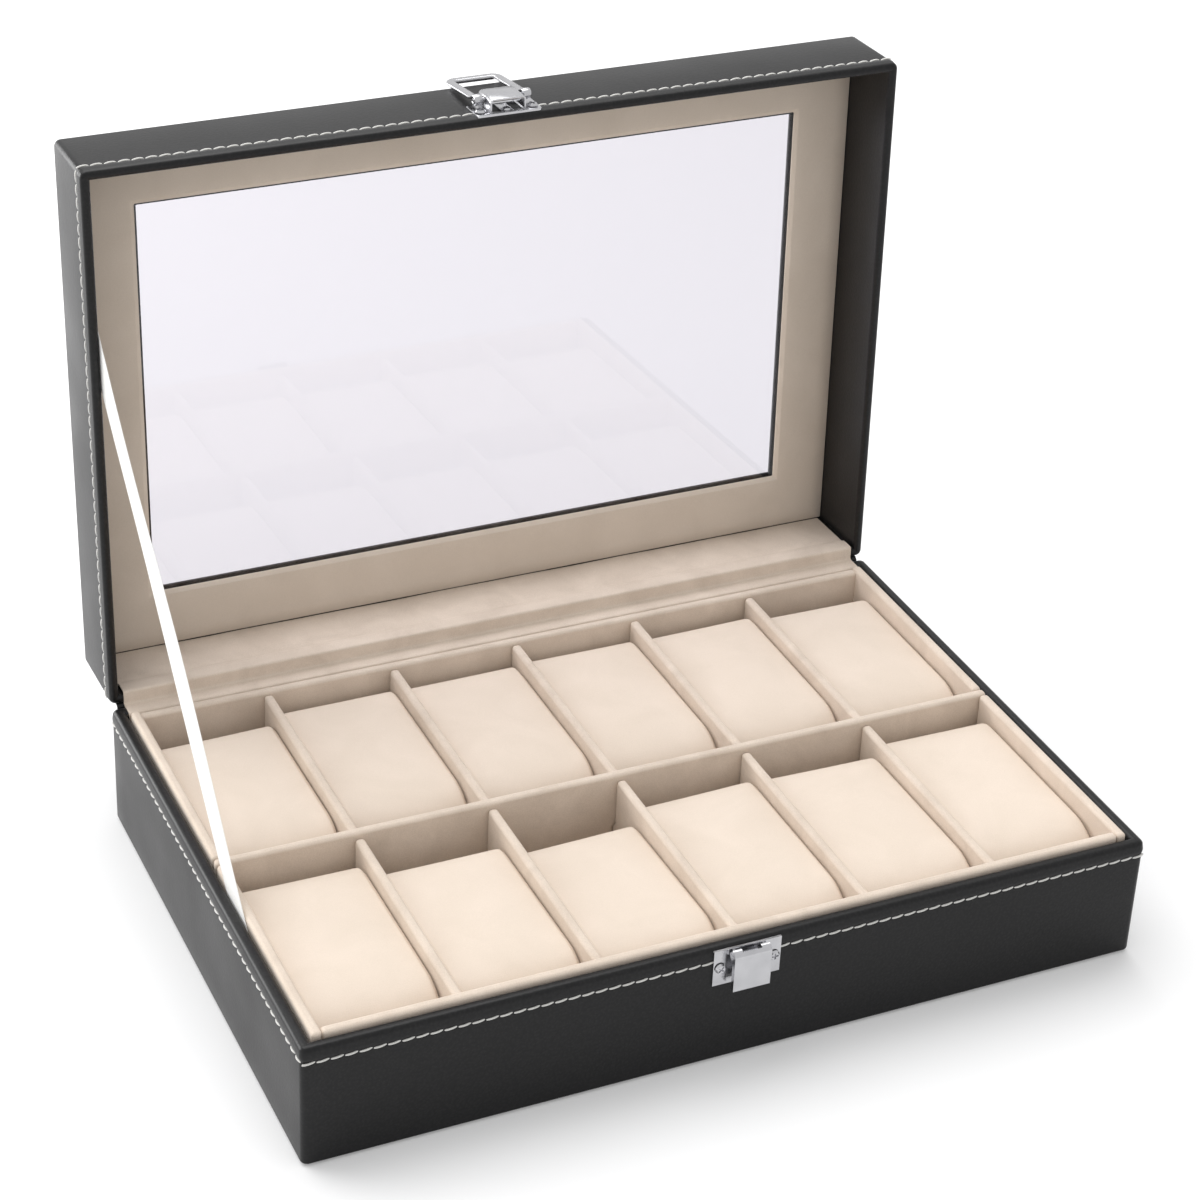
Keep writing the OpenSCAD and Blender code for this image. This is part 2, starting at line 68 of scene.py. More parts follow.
# The lid is drawn shut and then swung open about the hinge line, as the frame has it
lidHinge = joints["lid_hinge"]
hingeY, hingeZ = lidHinge["pos_m"][1:]
hingePlace = Matrix.Translation(Vector(lidHinge["pos_m"]))
openTurn = Matrix.Rotation(math.radians(lidHinge["range_deg"][0]), 4, "X")
swingOpen = hingePlace @ openTurn @ hingePlace.inverted()
swingShut = swingOpen.inverted()
stayPut = Matrix.Identity(4)


# Lowest and highest corner of a node, in the base's frame or with the lid shut
def boxOf(node, turn=stayPut):
    corners = np.array([turn @ v.co for v in nodes[node].data.vertices])
    return Vector(corners.min(0)), Vector(corners.max(0))


baseLow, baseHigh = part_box("base_cover")
lidLow, lidHigh = boxOf("lid_cover", swingShut)
halfW = baseHigh.x
halfD = baseHigh.y
rimZ = baseHigh.z
lidRimZ = lidLow.z
lidTopZ = lidHigh.z
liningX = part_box("hinge_lining")[1].x
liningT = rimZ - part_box("base_back_wall")[1].z
print("frame loaded:", len(nodes), "nodes")


def cleanMesh(obj, smoothAngle=38, merge=1e-7):
    bm = bmesh.new()
    bm.from_mesh(obj.data)
    bmesh.ops.remove_doubles(bm, verts=bm.verts, dist=merge)
    bmesh.ops.recalc_face_normals(bm, faces=bm.faces)
    bm.to_mesh(obj.data)
    bm.free()
    obj.data.shade_smooth()
    obj.data.set_sharp_from_angle(angle=math.radians(smoothAngle))


def newObject(name, points, faces, smoothAngle=38):
    mesh = bpy.data.meshes.new(name)
    mesh.from_pydata([tuple(p) for p in points], [], faces)
    obj = bpy.data.objects.new(name, mesh)
    scene.collection.objects.link(obj)
    cleanMesh(obj, smoothAngle)
    return obj


def applyAll(obj):
    graph = bpy.context.evaluated_depsgraph_get()
    mesh = bpy.data.meshes.new_from_object(obj.evaluated_get(graph))
    mesh.name = obj.name
    obj.modifiers.clear()
    obj.data = mesh
    return obj


def setPoints(mesh, co):
    mesh.vertices.foreach_set("co", co.astype(np.float32).ravel())
    mesh.update()


# Faces that skin a list of equally long rings of points
def joinPoints(rings, closedRows=True, capped=False):
    count = len(rings[0])
    rows = len(rings)
    faces = []
    for i in range(rows if closedRows else rows - 1):
        here, there = i * count, (i + 1) % rows * count
        for j in range(count):
            k = (j + 1) % count
            faces.append((here + j, here + k, there + k, there + j))
    if capped:
        faces.append(tuple(range(count - 1, -1, -1)))
        faces.append(tuple(range((rows - 1) * count, rows * count)))
    return [p for ring in rings for p in ring], faces


cornerSteps = 7
longSteps = 30
sideSteps = 20


# Points round a rectangle with round corners. Those along X include extraX, drawn in where it's too wide
def roundedRing(x0, x1, y0, y1, radius, z, extraX=()):
    r = max(radius, 0.02 * mm)
    fit = min([1.0] + [(x1 - r - 0.2 * mm) / x for x in extraX if x > 0])
    xs = sorted(list(np.linspace(x0 + r, x1 - r, longSteps + 1)[1:-1]) + [x * fit for x in extraX])
    ys = list(np.linspace(y0 + r, y1 - r, sideSteps + 1)[1:-1])
    corners = [(x1 - r, y0 + r, -90), (x1 - r, y1 - r, 0), (x0 + r, y1 - r, 90), (x0 + r, y0 + r, 180)]
    sides = [[(x1, y) for y in ys], [(x, y1) for x in reversed(xs)],
             [(x0, y) for y in reversed(ys)], [(x, y0) for x in xs]]
    points = []
    for (cx, cy, start), side in zip(corners, sides):
        points += arc(cx, cy, r, start, start + 90, cornerSteps) + side
    return [Vector((x, y, z)) for x, y in points]


# Points of an arc in a section, from one angle to another, in degrees
def arc(cx, cz, r, start, end, steps=6):
    turns = np.radians(np.linspace(start, end, steps + 1))
    return [(cx + r * math.cos(t), cz + r * math.sin(t)) for t in turns]


# Section points, given in millimetres from one place
def offsets(y, z, *steps):
    return [(y + dy * mm, z + dz * mm) for dy, dz in steps]


# A clean, welded copy of a CAD node's mesh, as a new piece
def nodeCopy(node, name, merge=0.01 * mm):
    obj = bpy.data.objects.new(name, nodes[node].data.copy())
    obj.data.materials.clear()
    scene.collection.objects.link(obj)
    bm = bmesh.new()
    bm.from_mesh(obj.data)
    bmesh.ops.remove_doubles(bm, verts=bm.verts, dist=merge)
    bmesh.ops.dissolve_limit(bm, angle_limit=math.radians(0.6), verts=bm.verts, edges=bm.edges)
    bmesh.ops.recalc_face_normals(bm, faces=bm.faces)
    bm.to_mesh(obj.data)
    bm.free()
    for layer in [a.name for a in obj.data.attributes if a.name.startswith(("custom_normal", "UVMap"))]:
        obj.data.attributes.remove(obj.data.attributes[layer])
    return obj


# Rounds the sharp edges and keeps the flat faces flat
def softenEdges(obj, width, segments=3, angle=35):
    obj.data.shade_smooth()
    bevel = obj.modifiers.new("Bevel", "BEVEL")
    bevel.width = width
    bevel.segments = segments
    bevel.limit_method = "ANGLE"
    bevel.angle_limit = math.radians(angle)
    bevel.harden_normals = True
    bevel.miter_outer = "MITER_ARC"
    return applyAll(obj)


def finishPiece(obj, material, body, slot, *stoodFor):
    obj.data.materials.clear()
    obj.data.materials.append(material)
    if body:
        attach(obj, body)
    if stoodFor:
        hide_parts(*stoodFor)
    return obj


# Adds a node, sets its fields, and gives each socket a value or a link
def addNode(tree, kind, sockets=None, **settings):
    node = tree.nodes.new(kind)
    for field, value in settings.items():
        setattr(node, field, value)
    for socket, value in (sockets or {}).items():
        if isinstance(value, bpy.types.NodeSocket):
            tree.links.new(value, node.inputs[socket])
        else:
            node.inputs[socket].default_value = value
    return node


def addStep(tree, kind, sockets=None, **settings):
    return addNode(tree, kind, sockets, **settings).outputs[0]


def addMath(tree, operation, a, b):
    return addStep(tree, "ShaderNodeMath", {0: a, 1: b}, operation=operation)


def addVector(tree, x=0.0, y=0.0, z=0.0):
    return addStep(tree, "ShaderNodeCombineXYZ", {0: x, 1: y, 2: z})


def addMix(tree, factor, a, b):
    return addNode(tree, "ShaderNodeMix", {0: factor, 6: a, 7: b}, data_type="RGBA").outputs[2]


def addRange(tree, value, low, high, toLow=0.0, toHigh=1.0):
    return addStep(tree, "ShaderNodeMapRange", {0: value, 1: low, 2: high, 3: toLow, 4: toHigh})


def addNoise(tree, place, scale, detail, roughness=0.5, distortion=0.0):
    sockets = {"Vector": place, "Scale": scale, "Detail": detail, "Roughness": roughness,
               "Distortion": distortion}
    return addNode(tree, "ShaderNodeTexNoise", sockets).outputs


# A shader group that takes a place, colours and numbers, and gives a colour and masks
def newGroup(name, inputs, outputs):
    group = bpy.data.node_groups.new(name, "ShaderNodeTree")
    group.interface.new_socket("Place", in_out="INPUT", socket_type="NodeSocketVector")
    for label, value in inputs.items():
        kind = "NodeSocketColor" if isinstance(value, tuple) else "NodeSocketFloat"
        group.interface.new_socket(label, in_out="INPUT", socket_type=kind).default_value = value
    for label in outputs:
        kind = "NodeSocketColor" if label == "Color" else "NodeSocketFloat"
        group.interface.new_socket(label, in_out="OUTPUT", socket_type=kind)
    return group, group.nodes.new("NodeGroupInput").outputs, group.nodes.new("NodeGroupOutput").inputs


def newMaterial(name, values):
    material = bpy.data.materials.new(name)
    material.use_nodes = True
    tree = material.node_tree
    shader = tree.nodes["Principled BSDF"]
    for socket, value in values.items():
        shader.inputs[socket].default_value = value
    return material, tree, shader, tree.nodes.new("ShaderNodeTexCoord").outputs["Object"]


def useGroup(tree, group, place, values):
    node = tree.nodes.new("ShaderNodeGroup")
    node.node_tree = group
    tree.links.new(place, node.inputs["Place"])
    for socket, value in values.items():
        node.inputs[socket].default_value = value
    return node.outputs


def addBump(tree, shader, height, distance, strength):
    bump = addStep(tree, "ShaderNodeBump", {"Strength": strength, "Distance": distance, "Height": height})
    tree.links.new(bump, shader.inputs["Normal"])


# Fine pebbled grain, its cells a millimetre across or less, over slow ripples
def makeGrainGroup():
    group, given, out = newGroup("leatherGrain", {"Cells": 900.0, "Ripple": 0.5}, ("Height", "Mask", "Slow"))
    place = given["Place"]
    wobble = addNoise(group, place, 320.0, 2.0)["Color"]
    shifted = addStep(group, "ShaderNodeVectorMath", {0: wobble, 3: 0.0012}, operation="SCALE")
    spot = addStep(group, "ShaderNodeVectorMath", {0: place, 1: shifted}, operation="ADD")
    cells = addStep(group, "ShaderNodeTexVoronoi", {"Vector": spot, "Scale": given["Cells"]},
                    feature="SMOOTH_F1")
    pores = addNoise(group, place, 2600.0, 3.0)["Fac"]
    slow = addNoise(group, place, 26.0, 2.0)["Fac"]
    domes = addMath(group, "SUBTRACT", 1.0, cells)
    rough = addMath(group, "ADD", domes, addMath(group, "MULTIPLY", pores, 0.35))
    ripple = addMath(group, "MULTIPLY", slow, given["Ripple"])
    group.links.new(addMath(group, "ADD", rough, ripple), out["Height"])
    group.links.new(addRange(group, domes, 0.45, 0.95), out["Mask"])
    group.links.new(slow, out["Slow"])
    return group


# Short pile brushed this way and that: lighter and darker clouds, and a fine tooth
def makeNapGroup():
    inputs = {"Light": (1, 1, 1, 1), "Deep": (0.5, 0.5, 0.5, 1), "Brush": 55.0, "Pile": 2600.0}
    group, given, out = newGroup("velvetNap", inputs, ("Color", "Roughness", "Height"))
    brush = addNoise(group, given["Place"], given["Brush"], 3.0, 0.55, 0.6)["Fac"]
    pile = addNoise(group, given["Place"], given["Pile"], 2.0, 0.7)["Fac"]
    clouds = addRange(group, brush, 0.3, 0.7)
    tooth = addMath(group, "MULTIPLY", addRange(group, pile, 0.3, 0.7), 0.4)
    share = addMath(group, "ADD", addMath(group, "MULTIPLY", clouds, 0.45), tooth)
    group.links.new(addMix(group, share, given["Light"], given["Deep"]), out["Color"])
    group.links.new(addRange(group, clouds, 0.0, 1.0, 0.82, 0.96), out["Roughness"])
    group.links.new(addMath(group, "ADD", pile, addMath(group, "MULTIPLY", brush, 0.6)), out["Height"])
    return group


# Faint rubbed marks and specks on plated metal
def makeRubGroup():
    inputs = {"Bright": (0.8, 0.8, 0.8, 1), "Dull": (0.5, 0.5, 0.5, 1), "Polish": 0.12}
    group, given, out = newGroup("rubbedMetal", inputs, ("Color", "Roughness", "Height"))
    stretch = addStep(group, "ShaderNodeMapping",
                      {"Vector": given["Place"], "Scale": (240.0, 2600.0, 2600.0)})
    lines = addNoise(group, stretch, 1.0, 3.0)["Fac"]
    clouds = addNoise(group, given["Place"], 160.0, 2.0)["Fac"]
    share = addRange(group, clouds, 0.35, 0.75)
    group.links.new(addMix(group, share, given["Bright"], given["Dull"]), out["Color"])
    spread = addMath(group, "MULTIPLY", addRange(group, lines, 0.3, 0.7), 0.1)
    group.links.new(addMath(group, "ADD", given["Polish"], spread), out["Roughness"])
    group.links.new(lines, out["Height"])
    return group


# Threads over and under, as two crossed waves
def makeWeaveGroup():
    inputs = {"Threads": 2200.0, "Light": (1, 1, 1, 1), "Deep": (0.7, 0.7, 0.7, 1)}
    group, given, out = newGroup("plainWeave", inputs, ("Color", "Height"))
    waves = []
    for bands in ("DIAGONAL", "Y"):
        sockets = {"Vector": given["Place"], "Scale": given["Threads"], "Distortion": 0.5, "Detail": 1.0}
        waves.append(addNode(group, "ShaderNodeTexWave", sockets, bands_direction=bands).outputs["Fac"])
    fuzz = addNoise(group, given["Place"], 900.0, 3.0)["Fac"]
    height = addMath(group, "MULTIPLY", addMath(group, "ADD", *waves), 0.5)
    share = addMath(group, "MULTIPLY", addMath(group, "ADD", height, fuzz), 0.5)
    group.links.new(addMix(group, share, given["Deep"], given["Light"]), out["Color"])
    group.links.new(height, out["Height"])
    return group


grainGroup = makeGrainGroup()
napGroup = makeNapGroup()
rubGroup = makeRubGroup()
weaveGroup = makeWeaveGroup()


# A material whose colour, roughness and relief come from a shared group
def groupMaterial(name, values, group, given, relief, strength=0.5):
    material, tree, shader, place = newMaterial(name, values)
    made = useGroup(tree, group, place, given)
    for label, socket in (("Color", "Base Color"), ("Roughness", "Roughness")):
        if label in made:
            tree.links.new(made[label], shader.inputs[socket])
    addBump(tree, shader, made["Height"], relief, strength)
    return material


def makeLeather():
    material, tree, shader, place = newMaterial(
        "blackLeather", {"Specular IOR Level": 0.31, "Sheen Weight": 0.14, "Sheen Roughness": 0.3})
    grain = useGroup(tree, grainGroup, place, {"Cells": 1050.0, "Ripple": 1.6})
    tint = addMix(tree, grain["Mask"], (0.004, 0.004, 0.0045, 1), (0.01, 0.0095, 0.01, 1))
    tree.links.new(tint, shader.inputs["Base Color"])
    tree.links.new(addRange(tree, grain["Slow"], 0.3, 0.7, 0.32, 0.42), shader.inputs["Roughness"])
    addBump(tree, shader, grain["Height"], 0.05 * mm, 0.6)
    return material


def makeVelvet(name, light, deep, brush, sheen=0.3):
    values = {"Specular IOR Level": 0.2, "Sheen Weight": sheen, "Sheen Roughness": 0.45,
              "Sheen Tint": (1.0, 0.93, 0.85, 1)}
    given = {"Light": light, "Deep": deep, "Brush": brush}
    return groupMaterial(name, values, napGroup, given, 0.12 * mm)


def makeMetal(name, bright, dull, polish):
    given = {"Bright": bright, "Dull": dull, "Polish": polish}
    return groupMaterial(name, {"Metallic": 1.0}, rubGroup, given, 0.01 * mm, 0.35)


def makeWoven(name, light, deep, threads, roughness, sheen, relief):
    values = {"Roughness": roughness, "Sheen Weight": sheen, "Sheen Roughness": 0.5,
              "Specular IOR Level": 0.3}
    return groupMaterial(name, values, weaveGroup, {"Threads": threads, "Light": light, "Deep": deep}, relief)


def makeFibreboard(name, light, deep):
    given = {"Light": light, "Deep": deep, "Brush": 240.0, "Pile": 1500.0}
    return groupMaterial(name, {"Specular IOR Level": 0.25}, napGroup, given, 0.1 * mm)


# Clear glass that lamps shine through, with faint wiping marks
def makeClearPane():
    material, tree, shader, place = newMaterial(
        "clearPane", {"Base Color": (0.74, 0.72, 0.765, 1), "Transmission Weight": 1.0, "IOR": 1.45})
    marks = addNoise(tree, place, 18.0, 4.0, distortion=1.5)["Fac"]
    tree.links.new(addRange(tree, marks, 0.45, 0.8, 0.0, 0.05), shader.inputs["Roughness"])
    shadow = tree.nodes.new("ShaderNodeLightPath").outputs["Is Shadow Ray"]
    clear = addStep(tree, "ShaderNodeBsdfTransparent", {"Color": (0.94, 0.935, 0.95, 1)})
    mixed = addStep(tree, "ShaderNodeMixShader", {0: shadow, 1: shader.outputs[0], 2: clear})
    tree.links.new(mixed, tree.nodes["Material Output"].inputs["Surface"])
    return material


leather = makeLeather()
boardVelvet = makeVelvet("boardVelvet", (0.76, 0.655, 0.555, 1), (0.54, 0.45, 0.37, 1), 60.0)
panelVelvet = makeVelvet("panelVelvet", (0.67, 0.585, 0.5, 1), (0.57, 0.49, 0.41, 1), 38.0)
pillowVelvet = makeVelvet("pillowVelvet", (0.8, 0.69, 0.59, 1), (0.7, 0.6, 0.5, 1), 42.0, 0.25)
felt = makeWoven("blackFelt", (0.03, 0.03, 0.031, 1), (0.008, 0.008, 0.008, 1), 1500.0, 0.95, 0.4, 0.2 * mm)
thread = makeWoven("whiteThread", (0.9, 0.89, 0.86, 1), (0.6, 0.59, 0.56, 1), 5200.0, 0.6, 0.2, 0.08 * mm)
ribbonCloth = makeWoven(
    "whiteRibbon", (0.93, 0.925, 0.9, 1), (0.8, 0.79, 0.76, 1), 2600.0, 0.5, 0.3, 0.05 * mm)
fibreboard = makeFibreboard("fibreboard", (0.42, 0.29, 0.17, 1), (0.25, 0.16, 0.09, 1))
blackBoard = makeFibreboard("blackBoard", (0.012, 0.011, 0.011, 1), (0.005, 0.005, 0.005, 1))
nickel = makeMetal("brightNickel", (0.62, 0.62, 0.64, 1), (0.55, 0.55, 0.57, 1), 0.16)
spring = makeMetal("springSteel", (0.45, 0.45, 0.47, 1), (0.25, 0.25, 0.27, 1), 0.22)
clearPane = makeClearPane()
print("materials made")


leatherCover = {
    "thickness": 0.6 * mm,
    "rimRound": 1.8 * mm,
    "lidRimRound": 1.45 * mm,
    "footRound": 0.9 * mm,
    "topRound": 1.5 * mm,
    "holeRound": 0.9 * mm,
    "furrow": 0.16 * mm,        # how deep the stitches pull the leather in
    "ridge": 0.2 * mm,          # how far it stands out between the stitches and the rim
    "cornerRound": 2.4 * mm,
    "backProud": 0.35 * mm,     # the turn-in lies on the board of the back wall
    "turnIn": 12 * mm,
}
stitchZ = sum(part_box("base_stitching"), Vector()).z / 2
stitchInset = rimZ - stitchZ


# One ring of a cover: inset from the outer faces, less deep along the hinge as far as deepest
def coverRing(inset, z, backShare, deepest):
    backInset = inset * backShare if inset <= deepest else inset
    radius = max(leatherCover["cornerRound"] - max(inset, 0), 0.25 * mm)
    edge = [-liningX - 0.15 * mm, -liningX, liningX, liningX + 0.15 * mm]
    return roundedRing(-halfW + inset, halfW - inset, -halfD + inset, halfD - backInset, radius, z, edge)


# The furrow along the stitches and the ridge next to the rim. Away is +1 where the rim is above
def stitchRelief(z, away):
    deep = leatherCover["furrow"]
    high = leatherCover["ridge"]
    steps = [(-1.1, 0.0), (-0.5, 0.55 * deep), (0.0, deep), (0.5, 0.45 * deep), (1.2, -0.6 * high),
             (2.0, -high), (2.7, -0.7 * high)]
    points = [(inset, z + away * step * mm) for step, inset in steps]
    return points if away > 0 else points[::-1]


# Skins a cover's section, and lowers its rim along the hinge where the lining lies on it
def makeCover(name, body, outside, inside, wall, backWall, deepest=math.inf):
    rim, up = (rimZ, 1) if body == "base" else (lidRimZ, -1)
    rings = []
    for i, (inset, z) in enumerate(outside + inside):
        ring = coverRing(inset, z, backWall / wall, deepest)
        under = liningT + (0 if i < len(outside) else 0.3 * mm)
        for p in ring:
            onLining = abs(p.x) <= liningX + 0.01 * mm and p.y > halfD - backWall - 0.2 * mm
            if onLining and up * (rim - z) < 6 * mm:
                p.z = up * min(up * p.z, up * rim - under)
        rings.append(ring)
    obj = newObject(name, *joinPoints(rings))
    if body == "lid":
        obj.data.transform(swingOpen)
    finishPiece(obj, leather, body, "black_leather", body + "_cover")


def makeBaseCover():
    r, foot, t = (leatherCover[key] for key in ("rimRound", "footRound", "thickness"))
    floorZ = baseLow.z
    wall = halfW + boxOf("base_left_wall")[1].x + t
    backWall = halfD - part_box("base_back_wall")[0].y + leatherCover["backProud"]
    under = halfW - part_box("base_felt")[1].x
    turnedIn = rimZ - leatherCover["turnIn"]
    outside = [(under, floorZ), (under * 0.5, floorZ), (foot, floorZ)]
    outside += arc(foot, floorZ + foot, foot, 270, 180)[1:]
    outside += [(0.0, floorZ + 8 * mm), (0.0, rimZ * 0.5)]
    outside += stitchRelief(stitchZ, 1)
    outside += arc(r, rimZ - r, r, 180, 90) + arc(wall - r, rimZ - r, r, 90, 0)
    outside += [(wall, turnedIn)]
    inside = [(wall - t, turnedIn)]
    inside += arc(wall - r, rimZ - r, r - t, 0, 90) + arc(r, rimZ - r, r - t, 90, 180)
    inside += [(t, rimZ * 0.5), (t, floorZ + foot)]
    inside += arc(foot, floorZ + foot, foot - t, 180, 270)[1:]
    inside += [(under * 0.5, floorZ + t), (under, floorZ + t)]
    makeCover("baseCover", "base", outside, inside, wall, backWall)


# Half the width and depth of the opening, from the pane and how far it laps the board
def windowHalf():
    lap = 6 * mm
    pane = boxOf("window_pane", swingShut)[1]
    return pane.x - lap, pane.y - lap


def makeLidCover():
    r, top, t, edge = (leatherCover[key] for key in ("lidRimRound", "topRound", "thickness", "holeRound"))
    wall = halfW - boxOf("lid_right_wall", swingShut)[0].x + t
    backWall = halfD - boxOf("lid_back_wall", swingShut)[0].y + leatherCover["backProud"]
    paneLow, paneHigh = boxOf("window_pane", swingShut)
    border = halfW - windowHalf()[0]
    ceiling = paneLow.z - 0.05 * mm
    middle = (paneLow.z + lidRimZ) / 2
    onPane = paneHigh.z + 0.02 * mm
    turnedIn = lidTopZ - leatherCover["turnIn"]
    outside = [(wall, ceiling), (wall, middle)]
    outside += arc(wall - r, lidRimZ + r, r, 0, -90) + arc(r, lidRimZ + r, r, 270, 180)
    outside += stitchRelief(lidRimZ + stitchInset, -1)
    outside += [(0.0, turnedIn)]
    outside += arc(top, lidTopZ - top, top, 180, 90)
    outside += [(border * 0.5, lidTopZ)]
    outside += arc(border - edge, lidTopZ - edge, edge, 90, 0, 4)
    outside += [(border, onPane)]
    inside = [(border - t, onPane), (border - t, lidTopZ - edge)]
    inside += [(border - edge - 0.3 * mm, lidTopZ - t), (border * 0.5, lidTopZ - t)]
    inside += arc(top, lidTopZ - top, top - t, 90, 180)
    inside += [(t, turnedIn)]
    inside += arc(r, lidRimZ + r, r - t, 180, 270) + arc(wall - r, lidRimZ + r, r - t, 270, 360)
    inside += [(wall - t, middle), (wall - t, ceiling)]
    makeCover("lidCover", "lid", outside, inside, wall, backWall, wall + 0.1 * mm)


makeBaseCover()
makeLidCover()
print("leather covers made")


stitching = {
    "pitch": 4.6 * mm,
    "dash": 3.9 * mm,
    "threadWidth": 0.74 * mm,
    "rise": 0.26 * mm,
    "slant": 7.0,               # degrees
    "clearance": 1.6 * mm,      # from the latch plate's side
}


def newGeometryTree(name, floats, seeded=False):
    tree = bpy.data.node_groups.new(name, "GeometryNodeTree")
    sockets = [("Geometry", "Geometry")] + [(label, "Float") for label in floats]
    sockets += [("Seed", "Int")] * seeded + [("Material", "Material")]
    for label, kind in sockets:
        tree.interface.new_socket(label, in_out="INPUT", socket_type="NodeSocket" + kind)
    tree.interface.new_socket("Geometry", in_out="OUTPUT", socket_type="NodeSocketGeometry")
    return tree, tree.nodes.new("NodeGroupInput").outputs, tree.nodes.new("NodeGroupOutput").inputs


# Real geometry in one material, as the export wants it
def endTree(tree, source, given, out):
    real = addStep(tree, "GeometryNodeRealizeInstances", {0: source})
    smooth = addStep(tree, "GeometryNodeSetShadeSmooth", {0: real})
    painted = addStep(tree, "GeometryNodeSetMaterial", {0: smooth, "Material": given["Material"]})
    tree.links.new(painted, out[0])


# Puts the tree on a line or a set of points and turns the result into a plain mesh
def runTree(name, tree, points, edges, values, outward=None):
    mesh = bpy.data.meshes.new(name)
    mesh.from_pydata([tuple(p) for p in points], edges, [])
    if outward is not None:
        attribute = mesh.attributes.new("outward", "FLOAT_VECTOR", "POINT")
        attribute.data.foreach_set("vector", np.array(outward, np.float32).ravel())
    obj = bpy.data.objects.new(name, mesh)
    scene.collection.objects.link(obj)
    modifier = obj.modifiers.new("Nodes", "NODES")
    modifier.node_group = tree
    for item in tree.interface.items_tree:
        if item.in_out == "INPUT" and item.name in values:
            modifier[item.identifier] = values[item.name]
    obj.update_tag()
    bpy.context.view_layer.update()
    applyAll(obj)
    if "outward" in obj.data.attributes:
        obj.data.attributes.remove(obj.data.attributes["outward"])
    return obj


def addOutward(tree):
    return addStep(tree, "GeometryNodeInputNamedAttribute", {"Name": "outward"}, data_type="FLOAT_VECTOR")


def makeStitchTree():
    tree, given, out = newGeometryTree("stitchLine", ("Pitch", "Dash", "Thread", "Rise", "Slant"))
    line = addStep(tree, "GeometryNodeMeshToCurve", {0: given["Geometry"]})
    spaced = addStep(tree, "GeometryNodeResampleCurve", {0: line, "Length": given["Pitch"]}, mode="LENGTH")
    half = addMath(tree, "MULTIPLY", given["Dash"], 0.5)
    back = addMath(tree, "MULTIPLY", given["Dash"], -0.5)
    sunk = addMath(tree, "MULTIPLY", given["Thread"], -0.45)
    bow = addStep(tree, "GeometryNodeCurvePrimitiveBezierSegment", {
        "Resolution": 8, "Start": addVector(tree, back, 0.0, sunk),
        "Start Handle": addVector(tree, addMath(tree, "MULTIPLY", back, 0.72), 0.0, given["Rise"]),
        "End Handle": addVector(tree, addMath(tree, "MULTIPLY", half, 0.72), 0.0, given["Rise"]),
        "End": addVector(tree, half, 0.0, sunk)})
    radius = addMath(tree, "MULTIPLY", given["Thread"], 0.5)
    ring = addStep(tree, "GeometryNodeCurvePrimitiveCircle", {"Resolution": 6, "Radius": radius})
    strand = addStep(tree, "GeometryNodeCurveToMesh", {0: bow, 1: ring, "Fill Caps": True})
    tangent = addStep(tree, "GeometryNodeInputTangent")
    facing = addStep(tree, "FunctionNodeAxesToRotation", {0: addOutward(tree), 1: tangent},
                     primary_axis="Z", secondary_axis="X")
    placed = addStep(tree, "GeometryNodeInstanceOnPoints", {0: spaced, 2: strand, "Rotation": facing})
    lean = addVector(tree, z=given["Slant"])
    endTree(tree, addStep(tree, "GeometryNodeRotateInstances", {0: placed, 2: lean}), given, out)
    return tree


# The seam round the front and the sides, in two halves that stop at the latch plate, with outward normals
def seamPath(z, gap):
    halves = []
    r = leatherCover["cornerRound"]
    depth = leatherCover["furrow"] * 0.5
    for side in (-1, 1):
        points = [(side * gap, -halfD + depth, z)]
        normals = [(0, -1, 0)]
        for a in np.radians(np.linspace(0, 90, 9)):
            x, y = halfW - r + (r - depth) * math.sin(a), -halfD + r - (r - depth) * math.cos(a)
            points.append((side * x, y, z))
            normals.append((side * math.sin(a), -math.cos(a), 0))
        halves.append((points + [(side * (halfW - depth), halfD - r, z)], normals + [(side, 0, 0)]))
    return halves


def makeStitches(name, z, turn, body):
    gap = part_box("catch_plate")[1].x + stitching["clearance"]
    points, normals, edges = [], [], []
    for line, facing in seamPath(z, gap):
        first = len(points)
        points += [turn @ Vector(p) for p in line]
        normals += [turn.to_3x3() @ Vector(n) for n in facing]
        edges += [(first + i, first + i + 1) for i in range(len(line) - 1)]
    values = {"Pitch": stitching["pitch"], "Dash": stitching["dash"], "Thread": stitching["threadWidth"],
              "Rise": stitching["rise"], "Slant": math.radians(stitching["slant"]), "Material": thread}
    obj = runTree(name, stitchTree, points, edges, values, normals)
    finishPiece(obj, thread, body, "white_thread", body + "_stitching")


stitchTree = makeStitchTree()
makeStitches("baseStitches", stitchZ, stayPut, "base")
makeStitches("lidStitches", lidRimZ + stitchInset, swingOpen, "lid")
print("stitches sewn")


boardEdge = {"round": 1.3 * mm, "segments": 4, "tuck": 0.8 * mm, "backLower": 0.9 * mm}
liners = ["tray_front_liner", "tray_back_liner", "tray_left_liner", "tray_right_liner"]
crossDividers = sorted(n for n in nodes if n.startswith("cross_divider_"))


def pieceName(node):
    first, *rest = node.split("_")
    return first + "".join(word.capitalize() for word in rest)


def makeVelvetBoard(node):
    obj = nodeCopy(node, pieceName(node))
    if node == "tray_back_liner":
        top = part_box(node)[1].z
        for v in obj.data.vertices:
            v.co.x += math.copysign(boardEdge["tuck"], v.co.x)
            v.co.z -= boardEdge["backLower"] * (v.co.z > top - 1 * mm)
    softenEdges(obj, boardEdge["round"], boardEdge["segments"])
    finishPiece(obj, boardVelvet, "base", "beige_velvet", node)


for node in liners + ["long_divider", "tray_floor"] + crossDividers:
    makeVelvetBoard(node)
print("tray boards covered")


velvetPanel = {
    "reveal": 1.0 * mm,
    "bead": 1.6 * mm,           # how far the rolled edge round the window flares out
    "edge": 0.3 * mm,
    "beadShape": ((0.0, 1.12), (0.03, 1.0), (0.14, 0.86), (0.45, 0.5), (0.76, 0.14), (0.9, 0.0), (1.0, 0.0)),
}


